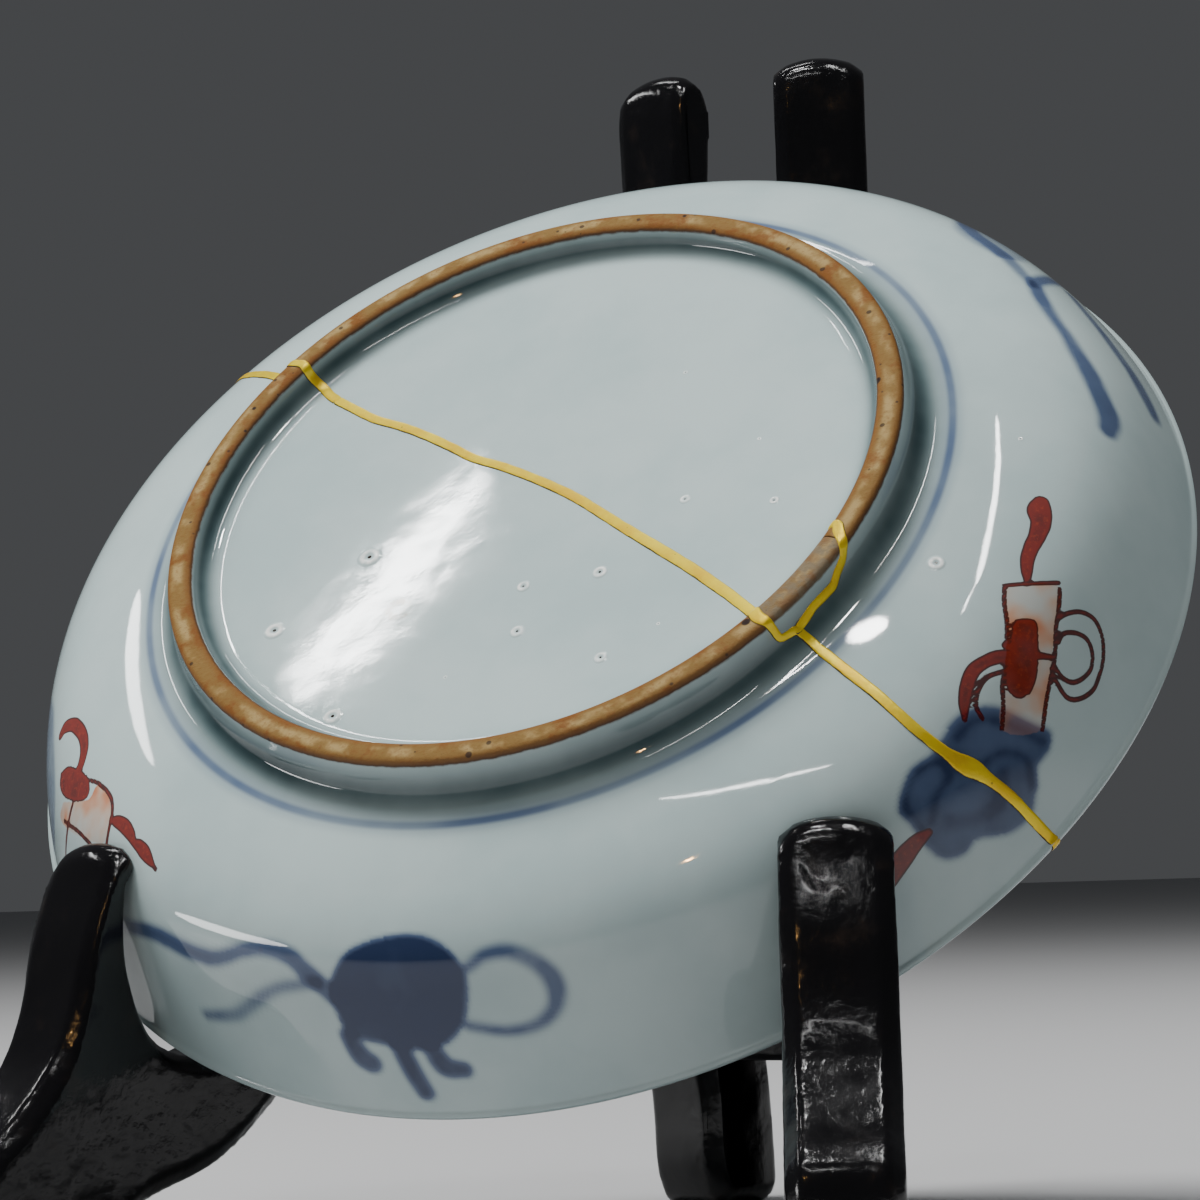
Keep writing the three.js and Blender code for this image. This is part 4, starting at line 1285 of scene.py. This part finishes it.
# Thick lacquer: an even skin with rounded edges and lumps, nowhere lower than the toes rest
def lacquerTree():
    tree, given, end = newTree(
        "Geometry", "thick lacquer",
        [("Geometry", "Geometry", None), ("Swell", "Float", 0.0001), ("Swell Scale", "Float", 100.0),
         ("Blister", "Float", 0.00005), ("Blister Scale", "Float", 500.0), ("Material", "Material", None)],
        [("Geometry", "Geometry")])
    place = add(tree, "GeometryNodeInputPosition").outputs[0]
    swell = minus(tree, noise(tree, place, given["Swell Scale"], 2), 0.5)
    patchy = spread(tree, noise(tree, place, 75.0, 2), 0.42, 0.6)
    grain = minus(tree, noise(tree, place, given["Blister Scale"], 3, 0.55), 0.5)
    rise = plus(tree, times(tree, times(tree, swell, 2.0), given["Swell"]),
                times(tree, times(tree, grain, patchy), given["Blister"]))
    normal = add(tree, "GeometryNodeInputNormal").outputs[0]
    lift = add(tree, "ShaderNodeVectorMath", {0: normal, "Scale": rise}, operation="SCALE").outputs[0]
    moved = add(tree, "ShaderNodeVectorMath", {0: place, 1: lift}, operation="ADD").outputs[0]
    parts = add(tree, "ShaderNodeSeparateXYZ", {0: moved}).outputs
    low = maths(tree, "MAXIMUM", parts[2], 0.0)
    kept = add(tree, "ShaderNodeCombineXYZ", {0: parts[0], 1: parts[1], 2: low}).outputs[0]
    inputs = {"Geometry": given["Geometry"], "Position": kept}
    shaped = add(tree, "GeometryNodeSetPosition", inputs).outputs[0]
    return closeTree(tree, shaped, given["Material"], end)


def lacquered(thing, tree, material):
    return runNodes(thing, tree, {
        "Swell": stand["swell"] * mm, "Swell Scale": stand["swellScale"],
        "Blister": stand["blister"] * mm, "Blister Scale": stand["blisterScale"], "Material": material})


def makeLacquer():
    material, tree, skin = newMaterial("black lacquer")
    place = objectPlace(tree)
    uneven = unevenness(tree, place, 420.0, 1700.0, 0.35)
    blisters = add(tree, "ShaderNodeTexVoronoi", {"Vector": place, "Scale": 900.0, "Smoothness": 0.5},
                   feature="SMOOTH_F1").outputs["Distance"]
    patchy = spread(tree, noise(tree, place, 75, 2), 0.42, 0.6)
    droplets = times(tree, times(tree, blisters, patchy), 0.4)
    height = minus(tree, uneven["Height"], droplets)
    rubbed = spread(tree, uneven["Tone"], 0.55, 0.8, 0, 0.6)
    colour = blendColour(tree, rubbed, stand["black"], stand["worn"])
    bump = add(tree, "ShaderNodeBump", {"Height": height, "Strength": 0.4, "Distance": 0.0002})
    gloss = spread(tree, uneven["Tone"], 0.3, 0.8, stand["rough"] * 0.8, stand["rough"] * 1.8)
    setInputs(tree, skin, {"Base Color": colour, "Roughness": gloss, "Normal": bump.outputs[0], "IOR": 1.5,
                      "Specular IOR Level": 0.35, "Coat Weight": 0.3, "Coat Roughness": 0.06})
    return material


blackLacquer = makeLacquer()
thickLacquer = lacquerTree()
for name, side in (("left", -1), ("right", 1)):
    arm = lacquered(makeArm(name + "_arm_lacquered", side), thickLacquer, blackLacquer)
    finish(arm, blackLacquer, "stand_" + name + "_arm", "stand_" + name + "_arm")
wedge = bpy.data.objects.new("rear_wedge_lacquered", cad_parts["stand_rear_link"].data.copy())
scene.collection.objects.link(wedge)
mend(wedge)
evenSkin(wedge)
lacquered(wedge, thickLacquer, blackLacquer)
finish(wedge, blackLacquer, "stand_rear_link", "stand_rear_link")
print("stand made,", len(arm.data.polygons), "faces an arm")
